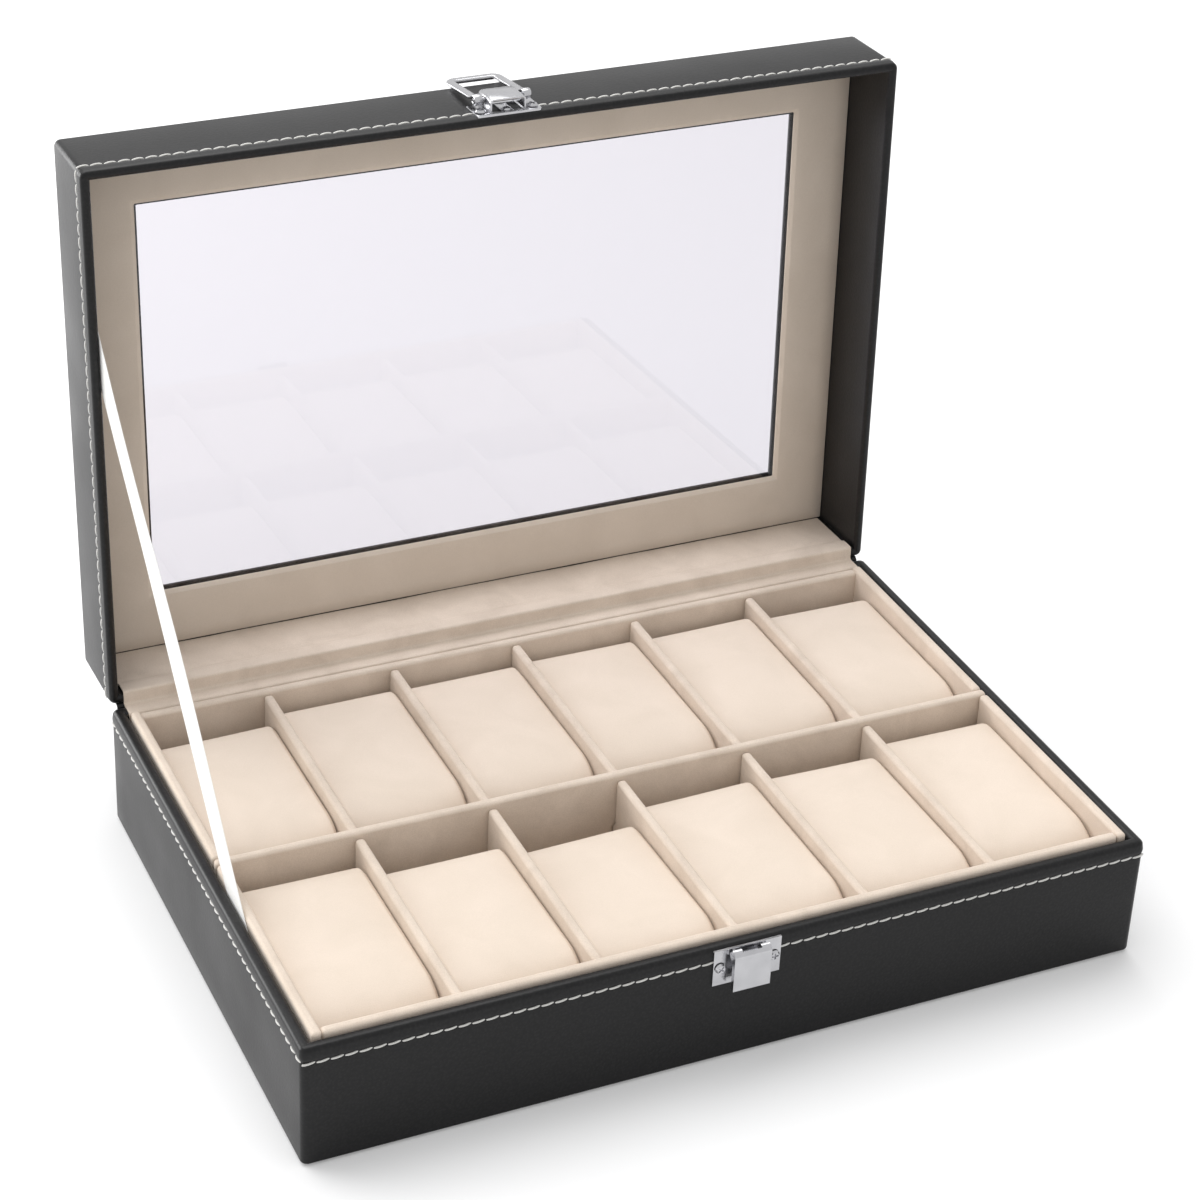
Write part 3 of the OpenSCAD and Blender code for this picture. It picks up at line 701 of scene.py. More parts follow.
def makeVelvetPanel():
    low, high = boxOf("velvet_panel", swingShut)
    holeX, holeY = (half + velvetPanel["reveal"] for half in windowHalf())
    edge = velvetPanel["edge"]
    steps = [(0.0, high.z, 0.0), (0.0, low.z + edge, 0.0), (0.0, low.z, -edge)]
    steps += [(share, low.z, 0.0) for share in (0.25, 0.5, 0.75)]
    for depth, out in velvetPanel["beadShape"]:
        steps.append((1.0, low.z + (high.z - low.z) * depth, velvetPanel["bead"] * out))
    rings = []
    for share, z, grow in steps:
        x1 = high.x + (holeX - high.x) * share + grow
        y0 = low.y + (-holeY - low.y) * share - grow
        y1 = high.y + (holeY - high.y) * share + grow
        rings.append(roundedRing(-x1, x1, y0, y1, 0.6 * mm, z))
    obj = newObject("velvetPanel", *joinPoints(rings), smoothAngle=60)
    obj.data.transform(swingOpen)
    finishPiece(obj, panelVelvet, "lid", "beige_velvet", "velvet_panel")


makeVelvetPanel()


pillow = {
    "around": 96,
    "across": 14,
    "panelRings": 5,
    "inset": 0.4 * mm,          # the shape before it is stuffed
    "edgeRound": 2.2 * mm,
    "frontRound": 17.0 * mm,
    "round": 6.0 * mm,
    "spread": 0.32 * mm,        # how far a stuffed side may come out towards the divider
    "crown": 1.3 * mm,
    "frames": 20,
    "cap": 1.7 * mm,
    "seamDepth": 0.3 * mm,
    "slump": (0.4 * mm, 0.5 * mm),      # upward and backward, at the most, from side to side
    "play": 0.4 * mm,           # how far the stuffing may push past its front and back
    "quickCrown": 1.6 * mm,
    "seed": 7,
}
pillowCloth = {
    "quality": 6,
    "mass": 0.25,
    "tension_stiffness": 12,
    "compression_stiffness": 12,
    "shear_stiffness": 6,
    "bending_stiffness": 0.6,
    "use_pressure": True,
    "uniform_pressure_force": 4.0,
    "vertex_group_mass": "seam",
    "pin_stiffness": 1.0,
}
# How each one sits in its cell, in mm: its front and its back edge moved backward, and its back edge raised
pillowSeat = {
    "pillow_back_1": (-0.3, -0.9, -1.0),
    "pillow_back_2": (3.4, 4.8, -0.5),
    "pillow_back_3": (2.8, 4.2, -0.5),
    "pillow_back_4": (3.2, 5.2, -0.5),
    "pillow_back_5": (2.4, 4.0, -0.2),
    "pillow_back_6": (0.0, 0.3, 0.3),
    "pillow_front_1": (1.0, 2.0, -0.3),
    "pillow_front_2": (-0.9, -4.0, -1.4),
    "pillow_front_3": (-1.4, -7.0, -3.2),
    "pillow_front_4": (0.0, -0.2, -0.6),
    "pillow_front_5": (-0.5, -1.6, -0.4),
    "pillow_front_6": (1.0, 2.8, 0.3),
}


# The pillow from its side, from the origin at its lower front corner, evenly spaced
def pillowOutline(depth, height, inset):
    r = pillow["round"] - inset * 0.5
    big = pillow["frontRound"] - inset * 0.5
    d, h = depth - inset, height - inset
    line = []
    for cy, cz, radius, start in ((d - r, inset + r, r, -90), (d - r, h - r, r, 0),
                                  (inset + big, h - big, big, 90), (inset + r, inset + r, r, 180)):
        line += arc(cy, cz, radius, start, start + 90, 10)
    line = np.array(line + line[:1])
    lengths = np.concatenate([[0], np.cumsum(np.linalg.norm(np.diff(line, axis=0), axis=1))])
    at = np.linspace(0, lengths[-1], pillow["around"] + 1)[:-1]
    return np.stack([np.interp(at, lengths, line[:, i]) for i in (0, 1)], axis=1)


# Where the rings stand along X, how far each is drawn in and how far it shrinks to its middle
def pillowColumns(half):
    r = pillow["edgeRound"]
    side = [(half, r, k / pillow["panelRings"]) for k in range(1, pillow["panelRings"] + 1)]
    side += [(half - r + r * math.cos(a), r - r * math.sin(a), 1.0) for a in np.radians([25, 50, 70])]
    middle = [(x, 0.0, 1.0) for x in np.linspace(r - half, half - r, pillow["across"] + 1)]
    return [(-x, inset, share) for x, inset, share in side] + middle + side[::-1], len(side) - 2


def makePillowShape(node, rng):
    low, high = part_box(node)
    depth, height = high.y - low.y, high.z - low.z
    half = (high.x - low.x) / 2 + pillow["spread"] - 0.08 * mm
    centreX = (high.x + low.x) / 2
    columns, seamRing = pillowColumns(half)
    around = pillow["around"]
    rings = []
    for x, inset, share in columns:
        outline = pillowOutline(depth, height, pillow["inset"] + inset)
        middle = outline.mean(0)
        drawn = middle + (outline - middle) * share
        rings.append([Vector((centreX + x, low.y + y, low.z + z)) for y, z in drawn])
    points, faces = joinPoints(rings, closedRows=False)
    for ring, side in ((0, -1), (len(rings) - 1, 1)):
        hub = len(points)
        points.append(sum(rings[ring], Vector()) / around)
        for j in range(around):
            a, b = ring * around + j, ring * around + (j + 1) % around
            faces.append((hub, b, a) if side < 0 else (hub, a, b))
    obj = newObject(pieceName(node), points, faces, 180)
    seam = obj.vertex_groups.new(name="seam")
    for ring, hold in ((seamRing, 1.0), (seamRing - 1, 0.3), (seamRing + 1, 0.3)):
        for place in (ring, len(rings) - 1 - ring):
            seam.add(list(range(place * around, (place + 1) * around)), hold, "REPLACE")
    co = np.array([v.co for v in obj.data.vertices])
    front, back, lift = np.array(pillowSeat[node]) * mm
    along = (co[:, 1] - low.y) / depth
    up = (co[:, 2] - low.z) / height
    slump = rng.uniform(-1, 1, 2) * pillow["slump"]
    across = (co[:, 0] - centreX) / half
    co[:, 2] += up * (lift * np.clip(along, 0, 1) + slump[0] * across * along)
    co[:, 1] += front + (back - front) * along + slump[1] * across
    setPoints(obj.data, co)
    return obj


# Blows the pads up as cloth bags, all in one run, and caps how far they swell
def puffUp(pads):
    before = [np.array([v.co for v in pad.data.vertices]) for pad in pads]
    for pad in pads:
        cloth = pad.modifiers.new("Cloth", "CLOTH")
        for field, value in pillowCloth.items():
            setattr(cloth.settings, field, value)
        cloth.settings.effector_weights.gravity = 0
        cloth.collision_settings.use_collision = False
        cloth.point_cache.frame_start = 1
        cloth.point_cache.frame_end = pillow["frames"]
    for number in range(1, pillow["frames"] + 1):
        scene.frame_set(number)
        bpy.context.view_layer.update()
    for pad, rest in zip(pads, before):
        applyAll(pad)
        move = np.array([v.co for v in pad.data.vertices]) - rest
        far = np.linalg.norm(move, axis=1, keepdims=True)
        limit = pillow["cap"]
        move *= np.where(far > 1e-9, limit * np.tanh(far / limit) / np.maximum(far, 1e-9), 1)
        setPoints(pad.data, rest + move)
        print("  ", pad.name, "swelled", round(float(far.max()) / mm, 2), "mm")
    scene.frame_set(1)


# Subdivides a pad, pulls its two seams in and keeps it inside its place
def finishPillow(obj, node):
    smooth = obj.modifiers.new("Subdivision", "SUBSURF")
    smooth.levels = 1
    smooth.render_levels = 1
    applyAll(obj)
    mesh = obj.data
    normals = np.array([v.normal for v in mesh.vertices])
    co = np.array([v.co for v in mesh.vertices])
    weight = np.array([v.groups[0].weight if len(v.groups) else 0.0 for v in mesh.vertices])
    pull = np.clip((weight - 0.35) / 0.65, 0, 1) ** 1.5
    co -= normals * (pull * pillow["seamDepth"])[:, None]
    low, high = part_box(node)
    spread, play = pillow["spread"], pillow["play"]
    front, back, lift = np.array(pillowSeat[node]) * mm
    lowest = np.array(low) + (-spread, front - play, 0.02 * mm)
    highest = np.array(high) + (spread, back + play, pillow["crown"] + max(lift, 0))
    setPoints(mesh, np.clip(co, lowest, highest))
    mesh.shade_smooth()
    obj.vertex_groups.clear()
    finishPiece(obj, pillowVelvet, node, "pillow_velvet", node)


def makePillows():
    rng = np.random.default_rng(pillow["seed"])
    pads = [makePillowShape(node, rng) for node in pillowSeat]
    puffUp(pads)
    for pad, node in zip(pads, pillowSeat):
        finishPillow(pad, node)


makePillows()
print("pillows stuffed")


# A closed section drawn out along X, with a little slow unevenness on the points that swayed picks
def extrudeAlongX(name, section, half, steps, sway, seed, swayed):
    phases = np.random.default_rng(seed).uniform(0, 2 * math.pi, 3)
    rings = []
    for k in range(steps + 1):
        t = k / steps
        fade = min(1.0, 8 * t, 8 * (1 - t))
        wave = fade * sum(math.sin(2 * math.pi * t * n + p) for n, p in zip((2.3, 4.1, 7.7), phases)) / 3
        ring = []
        for i, (y, z, ny, nz) in enumerate(section):
            shift = sway * wave if swayed(i) else 0.0
            ring.append(Vector((-half + 2 * half * t, y + ny * shift, z + nz * shift)))
        rings.append(ring)
    return newObject(name, *joinPoints(rings, closedRows=False, capped=True), smoothAngle=50)


# A closed section round a line: its seen side, then its hidden side on the left, with each point's normal
def thicken(line, thickness):
    line = np.array(line)
    steps = np.diff(line, axis=0)
    steps /= np.linalg.norm(steps, axis=1, keepdims=True)
    unit = np.concatenate([steps, steps[-1:]]) + np.concatenate([steps[:1], steps])
    unit /= np.linalg.norm(unit, axis=1, keepdims=True)
    normal = np.stack([-unit[:, 1], unit[:, 0]], axis=1)
    seen = [(y, z, ny, nz) for (y, z), (ny, nz) in zip(line, normal)]
    hidden = [(y - ny * thickness, z - nz * thickness, ny, nz) for y, z, ny, nz in seen]
    return seen + hidden[::-1]


# Section points of the shut lid, as they stand on the open one
def turnedOpen(points):
    turned = [swingOpen @ Vector((0, y, z)) for y, z in points]
    return [(p.y, p.z) for p in turned]


lining = {
    "drop": 12.0,               # mm down inside the tray
    "pad": 1.0 * mm,            # extra thickness where it pads the lid's rim
    "padHeight": 7 * mm,
    "sway": 0.14 * mm,
}


def makeHingeLining():
    t = liningT
    y0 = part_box("base_back_wall")[0].y - t
    lidFace = boxOf("lid_back_wall", swingShut)[0].y - t
    panelLow = boxOf("velvet_panel", swingShut)[0].z
    base = offsets(y0, rimZ, (0, -lining["drop"]), (0, -5))
    base += arc(y0 + 1.0 * mm, rimZ - 1.0 * mm, 1.0 * mm, 180, 90, 5)
    base += offsets(y0, rimZ, (2.6, 0.03), (4.6, 0)) + offsets(hingeY, rimZ, (-0.8, 0))
    crease = offsets(hingeY, rimZ, (-0.35, 0.06), (-0.02, 0.25), (0.15, 0.56))
    padFace = lidFace - lining["pad"]
    padTop = lidRimZ + lining["padHeight"]
    lid = offsets(hingeY, lidRimZ, (-0.75, 0.02)) + offsets(padFace, lidRimZ, (2.2, -0.03))
    lid += arc(padFace + 0.9 * mm, lidRimZ + 0.9 * mm, 0.9 * mm, 270, 180, 5)
    lid += offsets(padFace, lidRimZ, (-0.04, 3.0))
    lid += offsets(padFace, padTop, (0, -1.6), (0.25, -0.6), (0.7, 0.1), (0.95, 0.8))
    lid += offsets(lidFace, padTop, (0, 2.0), (0, 8)) + offsets(lidFace, panelLow, (0, -0.6), (0.1, 0))
    line = base + crease + turnedOpen(lid)
    firstSoft = len(base) + len(crease) + 2
    obj = extrudeAlongX("hingeLining", thicken(line, t * 0.8), liningX, 96, lining["sway"], 3,
                        lambda i: len(line) > i >= firstSoft)
    finishPiece(obj, boardVelvet, None, "beige_velvet", "hinge_lining")
    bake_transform(obj, "base", "lid", start=(0, hingeY - 0.6 * mm, rimZ - 0.05 * mm),
             end=(0, hingeY + 0.22 * mm, hingeZ + 0.6 * mm))


# Its half section is given in mm out from the back face and away from the rim
outerStrip = {
    "thickness": 0.6 * mm,
    "halfSection": [(-0.2, 12), (0, 11.5), (0, 6), (0, 1.5), (0.02, 0.7)],
    "bend": 0.62,
    "sway": 0.05 * mm,
}


def makeHingeStrip():
    t = outerStrip["thickness"]
    bend = outerStrip["bend"]
    section = outerStrip["halfSection"]
    base = offsets(halfD + t, rimZ, *[(y, -z) for y, z in section])
    lid = offsets(halfD + t, lidRimZ, *section[::-1])
    line = base + offsets(hingeY, hingeZ, (bend, -bend)) + turnedOpen(lid)
    half = halfW - leatherCover["cornerRound"]
    obj = extrudeAlongX("hingeStrip", thicken(line[::-1], t * 0.7), half, 72, outerStrip["sway"], 5,
                        lambda i: i < len(line))
    finishPiece(obj, leather, None, "black_leather", "hinge_strip")
    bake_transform(obj, "base", "lid", start=(0, hingeY - 0.1 * mm, hingeZ - 1.0 * mm),
             end=(0, hingeY + 1.0 * mm, hingeZ + 0.1 * mm))


ribbon = {
    "width": 14 * mm,
    "thickness": 0.34 * mm,
    "tuck": 14 * mm,
    "baseReach": 124 * mm,      # from the hinge to where it goes down behind the liner
    "lidReach": 130 * mm,       # and to where it lies on the lid's side
    "steps": 60,
    "bow": 0.5 * mm,
    "outline": [(-1, -0.5), (-0.97, -1), (-0.5, -1), (0, -1), (0.5, -1), (0.97, -1), (1, -0.5)],
}


def makeRibbon():
    t = leatherCover["thickness"]
    start = Vector((0, hingeY - ribbon["baseReach"], hingeZ))
    end = swingOpen @ Vector((0, hingeY - ribbon["lidReach"], hingeZ))
    along = (end - start).normalized()
    across = Vector((0, -along.z, along.y))
    sideways = Vector((1, 0, 0))
    start.x = (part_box("tray_left_liner")[0].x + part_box("base_left_wall")[1].x + t) / 2
    end.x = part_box("lid_left_wall")[1].x + t + ribbon["thickness"] / 2 + 0.06 * mm
    span = (end - start).length
    total = span + 2 * ribbon["tuck"]
    w, h = ribbon["width"] / 2, ribbon["thickness"] / 2
    outline = ribbon["outline"] + [(-a, -b) for a, b in ribbon["outline"]]
    rings = []
    for k in range(ribbon["steps"] + 1):
        s = k / ribbon["steps"] * total - ribbon["tuck"]
        inner = min(max(s / span, 0), 1)
        easing = inner * inner * (3 - 2 * inner)
        centre = start + (end - start) * (s / span)
        centre.x = start.x + (end.x - start.x) * easing + ribbon["bow"] * math.sin(math.pi * inner) ** 2
        twist = 0.05 * math.sin(math.pi * inner) * math.sin(5 * inner)
        side = across * math.cos(twist) + sideways * math.sin(twist)
        thick = sideways * math.cos(twist) - across * math.sin(twist)
        rings.append([centre + side * (a * w) + thick * (b * h) for a, b in outline])
    obj = newObject("stayRibbon", *joinPoints(rings, closedRows=False, capped=True), smoothAngle=60)
    finishPiece(obj, ribbonCloth, None, "white_ribbon", "stay_ribbon")
    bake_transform(obj, "base", "lid", start=tuple(start), end=tuple(end))


feltPad = {"edge": 0.35 * mm, "corner": 3 * mm}


def makeFelt():
    low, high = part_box("base_felt")
    edge = feltPad["edge"]
    rings = []
    for i, z in ((edge * 2, low.z), (edge, low.z), (0.0, low.z + edge), (0.0, high.z)):
        rings.append(roundedRing(low.x + i, high.x - i, low.y + i, high.y - i, feltPad["corner"], z))
    obj = newObject("baseFelt", *joinPoints(rings, closedRows=False, capped=True))
    finishPiece(obj, felt, "base", "black_felt", "base_felt")


makeHingeLining()
makeHingeStrip()
makeRibbon()
makeFelt()
print("lining, strip, ribbon and felt laid")


latch = {
    "edge": 0.16 * mm,
    "loopWidth": 3.1 * mm,
    "loopThick": 1.3 * mm,
    "loopBar": 1.7 * mm,        # the far bar, which the flap's hook holds, is thicker
    "loopEdge": 0.45 * mm,
    "loopBend": 2.4 * mm,
    "curl": 1.3 * mm,
    "curlRun": 4.8 * mm,        # where the curled end has come back to the bar's own line
    "plate": 0.8 * mm,          # its thickness at the least, where the screws leave less
    "plateTall": 11 * mm,
    "openingIn": 1.1 * mm,      # how far the plate's opening is narrower than the flap, each side
    "openingLow": 1.5 * mm,
    "openingHigh": 1.6 * mm,
    "barHalf": 2.1 * mm,        # the bar across the opening
    "barInset": 1.2 * mm,
    "bracketLift": 1.6 * mm,
    "plateRound": 1.1 * mm,
    "sheet": 0.7 * mm,
    "bracketBend": 1.0 * mm,
    "screwHead": 1.9 * mm,
    "screwHigh": 0.7 * mm,
    "screwSlot": 0.62 * mm,
    "springWire": 0.28 * mm,
    "springTurns": 8.0,
    "seed": 4,
}


# A flat bar with soft edges, swept along a path of centre, width direction and thickness direction
def bandAlong(name, path, width, thickness, edge):
    w, h, e = width / 2, thickness / 2, edge
    near = e * 0.3
    low = [(-w, -h + e), (-w + near, -h + near), (-w + e, -h),
           (w - e, -h), (w - near, -h + near), (w, -h + e)]
    outline = low + [(-a, -b) for a, b in low]
    rings = [[centre + wide * a + thick * b for a, b in outline] for centre, wide, thick in path]
    return newObject(name, *joinPoints(rings, closedRows=False, capped=True), smoothAngle=45)


# An upright ring of a plate on the lid's front, inset from the sides and at a depth towards -Y
def plateRing(x, z0, z1, radius, inset, depth):
    flat = roundedRing(-x + inset, x - inset, z0 + inset, z1 - inset, radius, 0)
    return [Vector((p.x, -halfD - depth, p.y)) for p in flat]


def plateMesh(x, z0, z1, thickness, radius, edge):
    near = edge * 0.3
    steps = ((0.0, 0.0), (0.0, thickness - edge), (near, thickness - near), (edge, thickness))
    rings = [plateRing(x, z0, z1, radius - inset, inset, depth) for inset, depth in steps]
    return joinPoints(rings, closedRows=False, capped=True)


# A plate with an opening that hole gives as its half width and its two heights
def frameMesh(x, z0, z1, hole, thickness, radius, edge):
    steps = ((0.0, 0.0), (0.0, thickness - edge), (edge, thickness))
    rings = [plateRing(x, z0, z1, radius - inset, inset, depth) for inset, depth in steps]
    rings += [plateRing(*hole, 0.3 * mm, -inset, depth) for inset, depth in reversed(steps)]
    return joinPoints(rings)


# Several point and face lists as one piece
def mergeInto(name, parts, smoothAngle=40):
    points, faces = [], []
    for somePoints, someFaces in parts:
        first = len(points)
        points += list(somePoints)
        faces += [tuple(i + first for i in face) for face in someFaces]
    return newObject(name, points, faces, smoothAngle)


# The points and faces of a helper object, which is then thrown away
def meshOf(obj):
    lists = [v.co.copy() for v in obj.data.vertices], [tuple(p.vertices) for p in obj.data.polygons]
    bpy.data.objects.remove(obj)
    return lists


# The bent bracket that carries the loop's pin, as a strip over the plate
def bracketMesh(half, back, front, z0, z1):
    r = latch["bracketBend"]
    line = [(-half, back), (-half, front + r)]
    line += [(-half + r - r * math.cos(a), front + r - r * math.sin(a))
             for a in np.radians([22.5, 45, 67.5, 90])]
    line += [(0.0, front)]
    line += [(-x, y) for x, y in line[-2::-1]]
    path = []
    for i, (x, y) in enumerate(line):
        ax, ay = line[min(i + 1, len(line) - 1)]
        bx, by = line[max(i - 1, 0)]
        along = Vector((ax - bx, ay - by, 0)).normalized()
        path.append((Vector((x, y, (z0 + z1) / 2)), Vector((0, 0, 1)), Vector((along.y, -along.x, 0))))
    return meshOf(bandAlong("bracketHelp", path, z1 - z0, latch["sheet"], latch["edge"]))


# The plate on the lid, a bar across its opening, and the bracket
def makeHaspPlate():
    low, high = boxOf("hasp_plate", swingShut)
    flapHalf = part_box("catch_flap")[1].x
    t = max(-halfD - boxOf("hasp_screws", swingShut)[1].y, latch["plate"])
    sheet, edge = latch["sheet"], latch["edge"]
    z0 = low.z
    top = z0 + latch["plateTall"]
    hole = (flapHalf - latch["openingIn"], z0 + latch["openingLow"], top - latch["openingHigh"])
    inset = latch["barInset"]
    parts = [frameMesh(high.x, z0, top, hole, t, latch["plateRound"], edge),
             plateMesh(latch["barHalf"], z0 + inset, top - inset, t * 0.9, 0.3 * mm, edge),
             bracketMesh(flapHalf - sheet / 2, -halfD - t * 0.5, low.y + sheet / 2,
                         z0 + latch["bracketLift"], high.z)]
    obj = mergeInto("haspPlate", parts)
    obj.data.transform(swingOpen)
    finishPiece(obj, nickel, "lid", "bright_nickel", "hasp_plate")


# The loop: one bar bent to a U, its two ends curled round the pin
def makeHaspLoop():
    pin = Vector(joints["loop_hinge"]["pos_m"])
    cad = [v.co for v in nodes["hasp_loop"].data.vertices]
    spokes = [Vector((0, p.y - pin.y, p.z - pin.z)) for p in cad]
    reach = max(spoke.length for spoke in spokes)
    away = sum((spoke for spoke in spokes if spoke.length > reach - 0.4 * mm), Vector()).normalized()
    face = Vector((0, -away.z, away.y))
    if (swingShut.to_3x3() @ face).y > 0:
        face = -face
    side = Vector((1, 0, 0))
    width, thick, curl, bend = (latch[key] for key in ("loopWidth", "loopThick", "curl", "loopBend"))
    armX = max(p.x for p in cad) - width / 2
    far = reach - width / 2
    half = []
    for turn in np.radians(np.linspace(250, 0, 16)):
        out = face * math.cos(turn) - away * math.sin(turn)
        half.append((out * curl - side * armX, side, out))
    for share in np.linspace(0, 1, 7):
        ease = share * share * (3 - 2 * share)
        spot = away * (latch["curlRun"] * share) + face * (curl * (1 - ease)) - side * armX
        half.append((spot, side, face))
    for share in (0.55, 0.75, 0.88):
        half.append((away * (far - bend) * share - side * armX, side, face))
    for turn in np.radians(np.linspace(0, 90, 8)):
        spot = away * (far - bend + bend * math.sin(turn)) - side * (armX - bend + bend * math.cos(turn))
        growth = 1 + (latch["loopBar"] / thick - 1) * math.sin(turn)
        half.append((spot, side * math.cos(turn) - away * math.sin(turn), face * growth))
    path = [(pin + spot, wide, up) for spot, wide, up in half]
    for spot, wide, up in reversed(half):
        path.append((pin + Vector((-spot.x, spot.y, spot.z)), Vector((-wide.x, wide.y, wide.z)), up))
    obj = bandAlong("haspLoop", path, width, thick, latch["loopEdge"])
    finishPiece(obj, nickel, "loop", "bright_nickel", "hasp_loop")


# Plate, ears, flap and pins as the frame has them, their edges rounded
def makeStampings():
    for node, body, segments, angle in (("catch_plate", "base", 3, 30), ("catch_flap", "flap", 3, 30),
                                        ("hasp_pin", "lid", 2, 50), ("catch_pin", "base", 2, 50)):
        obj = nodeCopy(node, pieceName(node))
        softenEdges(obj, latch["edge"], segments, angle)
        finishPiece(obj, nickel, body, "bright_nickel", node)


rivet = {
    "around": 24,
    "dome": ((1.0, 0.0), (1.0, 0.35), (0.9, 0.65), (0.7, 0.86), (0.45, 0.97), (0.3, 0.9), (0.12, 0.7)),
}


# The domed rivet inside the bracket
def makeRivet():
    low, high = boxOf("hasp_rivet", swingShut)
    centre = (low + high) / 2
    radius = (high.x - low.x) / 2
    rings = []
    for share, depth in rivet["dome"]:
        y = high.y + (low.y - high.y) * depth
        circle = arc(centre.x, centre.z, radius * share, 0, 360, rivet["around"])[:-1]
        rings.append([Vector((x, y, z)) for x, z in circle])
    obj = newObject("haspRivet", *joinPoints(rings, closedRows=False, capped=True))
    obj.data.transform(swingOpen)
    finishPiece(obj, nickel, "lid", "bright_nickel", "hasp_rivet")


def makeScrewTree():
    tree, given, out = newGeometryTree("screwHeads", ("Head", "High", "Slot"), seeded=True)
    head, high = given["Head"], given["High"]
    crown = addStep(tree, "GeometryNodeMeshCone", {
        "Vertices": 28, "Side Segments": 1, "Radius Top": addMath(tree, "MULTIPLY", head, 0.72),
        "Radius Bottom": head, "Depth": high})
    slotSize = addVector(tree, addMath(tree, "MULTIPLY", head, 1.25), given["Slot"], high)
    cut = addStep(tree, "GeometryNodeMeshCube", {"Size": slotSize})
    lift = addVector(tree, z=addMath(tree, "MULTIPLY", high, 0.65))
    both = addNode(tree, "GeometryNodeMeshBoolean", operation="UNION", solver="EXACT")
    for turn in (0, 90):
        spin = (0, 0, math.radians(turn))
        moved = addStep(tree, "GeometryNodeTransform", {0: cut, "Translation": lift, "Rotation": spin})
        tree.links.new(moved, both.inputs[1])
    cross = addStep(tree, "GeometryNodeMeshBoolean", {0: crown, 1: both.outputs[0]},
                    operation="DIFFERENCE", solver="EXACT")
    facing = addStep(tree, "FunctionNodeAlignRotationToVector", {"Vector": addOutward(tree)}, axis="Z")
    placed = addStep(tree, "GeometryNodeInstanceOnPoints",
                     {0: given["Geometry"], 2: cross, "Rotation": facing})
    chance = addNode(tree, "FunctionNodeRandomValue", {2: 0.0, 3: 1.6, "Seed": given["Seed"]},
                     data_type="FLOAT")
    spun = addVector(tree, z=chance.outputs[1])
    endTree(tree, addStep(tree, "GeometryNodeRotateInstances", {0: placed, 2: spun}), given, out)
    return tree


def makeScrews(node, turn, body, seed):
    low, high = boxOf(node, swingShut if body == "lid" else stayPut)
    r, tall = latch["screwHead"], latch["screwHigh"]
    y, z = high.y - tall / 2, (low.z + high.z) / 2
    points = [turn @ Vector((x, y, z)) for x in (low.x + r, high.x - r)]
    normals = [turn.to_3x3() @ Vector((0, -1, 0))] * 2
    values = {"Head": r, "High": tall, "Slot": latch["screwSlot"], "Seed": seed, "Material": nickel}
    obj = runTree(pieceName(node), screwTree, points, [], values, normals)
    obj.data.set_sharp_from_angle(angle=math.radians(30))
    finishPiece(obj, nickel, body, "bright_nickel", node)


def makeSpringTree():
    tree, given, out = newGeometryTree("coilSpring", ("Turns", "Radius", "Length", "Wire"))
    radius = given["Radius"]
    coil = addStep(tree, "GeometryNodeCurveSpiral", {
        "Resolution": 20, "Rotations": given["Turns"], "Start Radius": radius, "End Radius": radius,
        "Height": given["Length"]})
    ring = addStep(tree, "GeometryNodeCurvePrimitiveCircle", {"Resolution": 8, "Radius": given["Wire"]})
    wire = addStep(tree, "GeometryNodeCurveToMesh", {0: coil, 1: ring, "Fill Caps": True})
    laid = addStep(tree, "GeometryNodeTransform", {0: wire, "Rotation": (0, math.radians(90), 0)})
    endTree(tree, addStep(tree, "GeometryNodeInstanceOnPoints", {0: given["Geometry"], 2: laid}), given, out)
    return tree


def makeSpring():
    low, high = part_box("catch_spring")
    wire = latch["springWire"]
    centre = (low + high) / 2
    start = Vector((low.x + wire, centre.y, centre.z))
    values = {"Turns": latch["springTurns"], "Radius": (high.z - low.z) / 2 - wire,
              "Length": high.x - low.x - 2 * wire, "Wire": wire * 0.92, "Material": spring}
    obj = runTree("catchSpring", makeSpringTree(), [start], [], values)
    finishPiece(obj, spring, "base", "spring_steel", "catch_spring")


screwTree = makeScrewTree()
makeHaspPlate()
makeHaspLoop()
makeStampings()
makeRivet()
makeScrews("hasp_screws", swingOpen, "lid", latch["seed"])
makeScrews("catch_screws", stayPut, "base", latch["seed"] + 1)
makeSpring()
print("latch fitted")


# The boards that the leather hides, and the pane, stay as the frame has them
boardNodes = [n for n in nodes if n.endswith("_wall")] + ["base_bottom"]
keptNodes = [(n, fibreboard, "fibreboard") for n in boardNodes]
keptNodes += [("lid_frame_board", blackBoard, "fibreboard"), ("window_pane", clearPane, "clear_pane")]
for name, material, slot in keptNodes:
    nodes[name].data.materials.clear()
    nodes[name].data.materials.append(material)


studio = {
    "floorLift": 0.16,          # light added where the camera sees the floor itself
    "floorSize": 12.0,
    "world": 0.78,
    "softboxes": (              # name, place, target, size and power
        ("overhead", (-0.2, 0.72, 1.7), (0, 0.1, 0), (2.0, 1.5), 25),
        ("leftSide", (-1.1, 1.1, 0.35), (0, 0.1, 0.1), (1.3, 0.7), 15),
    ),
    "lens": 92.217,             # mm, on a sensor 36 mm wide
    "place": (-0.3861, -0.7834, 0.6461),
    "azimuth": -25.06,
    "elevation": 30.10,
    "roll": 2.43,
    "shift": (0.0208, -0.0542),
}


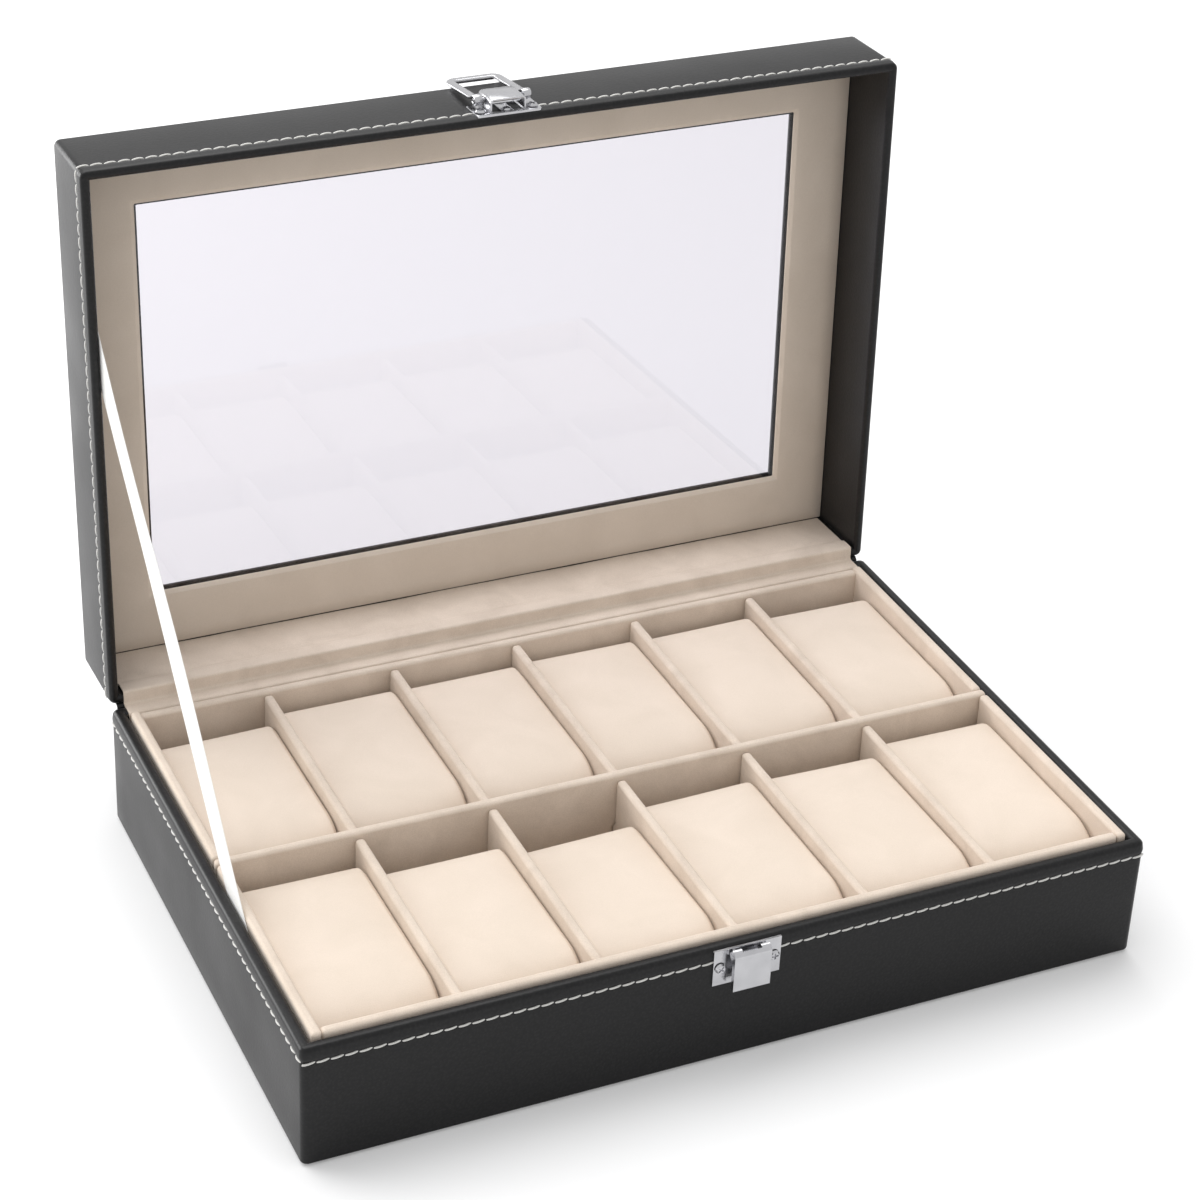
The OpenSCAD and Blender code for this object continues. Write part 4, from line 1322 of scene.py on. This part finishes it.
def makeFloor():
    half = studio["floorSize"] / 2
    z = -0.2 * mm
    floor = newObject("floor", [(-half, -half, z), (half, -half, z), (half, half, z), (-half, half, z)],
                      [(0, 1, 2, 3)])
    values = {"Roughness": 0.9, "Specular IOR Level": 0.1, "Emission Strength": studio["floorLift"]}
    material, tree, shader, place = newMaterial("paleFloor", values)
    cloud = addNoise(tree, place, 3.0, 2.0)["Fac"]
    tint = addMix(tree, cloud, (0.775, 0.775, 0.78, 1), (0.795, 0.795, 0.795, 1))
    tree.links.new(tint, shader.inputs["Base Color"])
    seen = tree.nodes.new("ShaderNodeLightPath").outputs["Is Camera Ray"]
    tree.links.new(seen, shader.inputs["Emission Color"])
    floor.data.materials.append(material)


def addSoftbox(name, place, target, size, power):
    lamp = bpy.data.lights.new(name, "AREA")
    lamp.shape = "RECTANGLE"
    lamp.size, lamp.size_y = size
    lamp.energy = power
    obj = bpy.data.objects.new(name, lamp)
    scene.collection.objects.link(obj)
    obj.location = place
    obj.rotation_mode = "QUATERNION"
    obj.rotation_quaternion = (Vector(target) - Vector(place)).to_track_quat("-Z", "Y")


def lightStudio():
    world = bpy.data.worlds.new("paleRoom")
    scene.world = world
    world.use_nodes = True
    background = world.node_tree.nodes["Background"]
    background.inputs["Color"].default_value = (1.0, 1.0, 1.0, 1)
    background.inputs["Strength"].default_value = studio["world"]
    for softbox in studio["softboxes"]:
        addSoftbox(*softbox)
    scene.view_settings.view_transform = "Standard"


def placeCamera():
    camera = bpy.data.cameras.new("camera")
    camera.sensor_width = 36
    camera.lens = studio["lens"]
    camera.shift_x, camera.shift_y = studio["shift"]
    camera.clip_start, camera.clip_end = 0.05, 30
    obj = bpy.data.objects.new("camera", camera)
    scene.collection.objects.link(obj)
    a, e, roll = (math.radians(studio[key]) for key in ("azimuth", "elevation", "roll"))
    back = Vector((math.sin(a) * math.cos(e), -math.cos(a) * math.cos(e), math.sin(e)))
    obj.location = studio["place"]
    obj.rotation_mode = "QUATERNION"
    obj.rotation_quaternion = (-back).to_track_quat("-Z", "Y") @ Matrix.Rotation(roll, 3, "Z").to_quaternion()
    scene.camera = obj


makeFloor()
lightStudio()
placeCamera()
print("studio set")
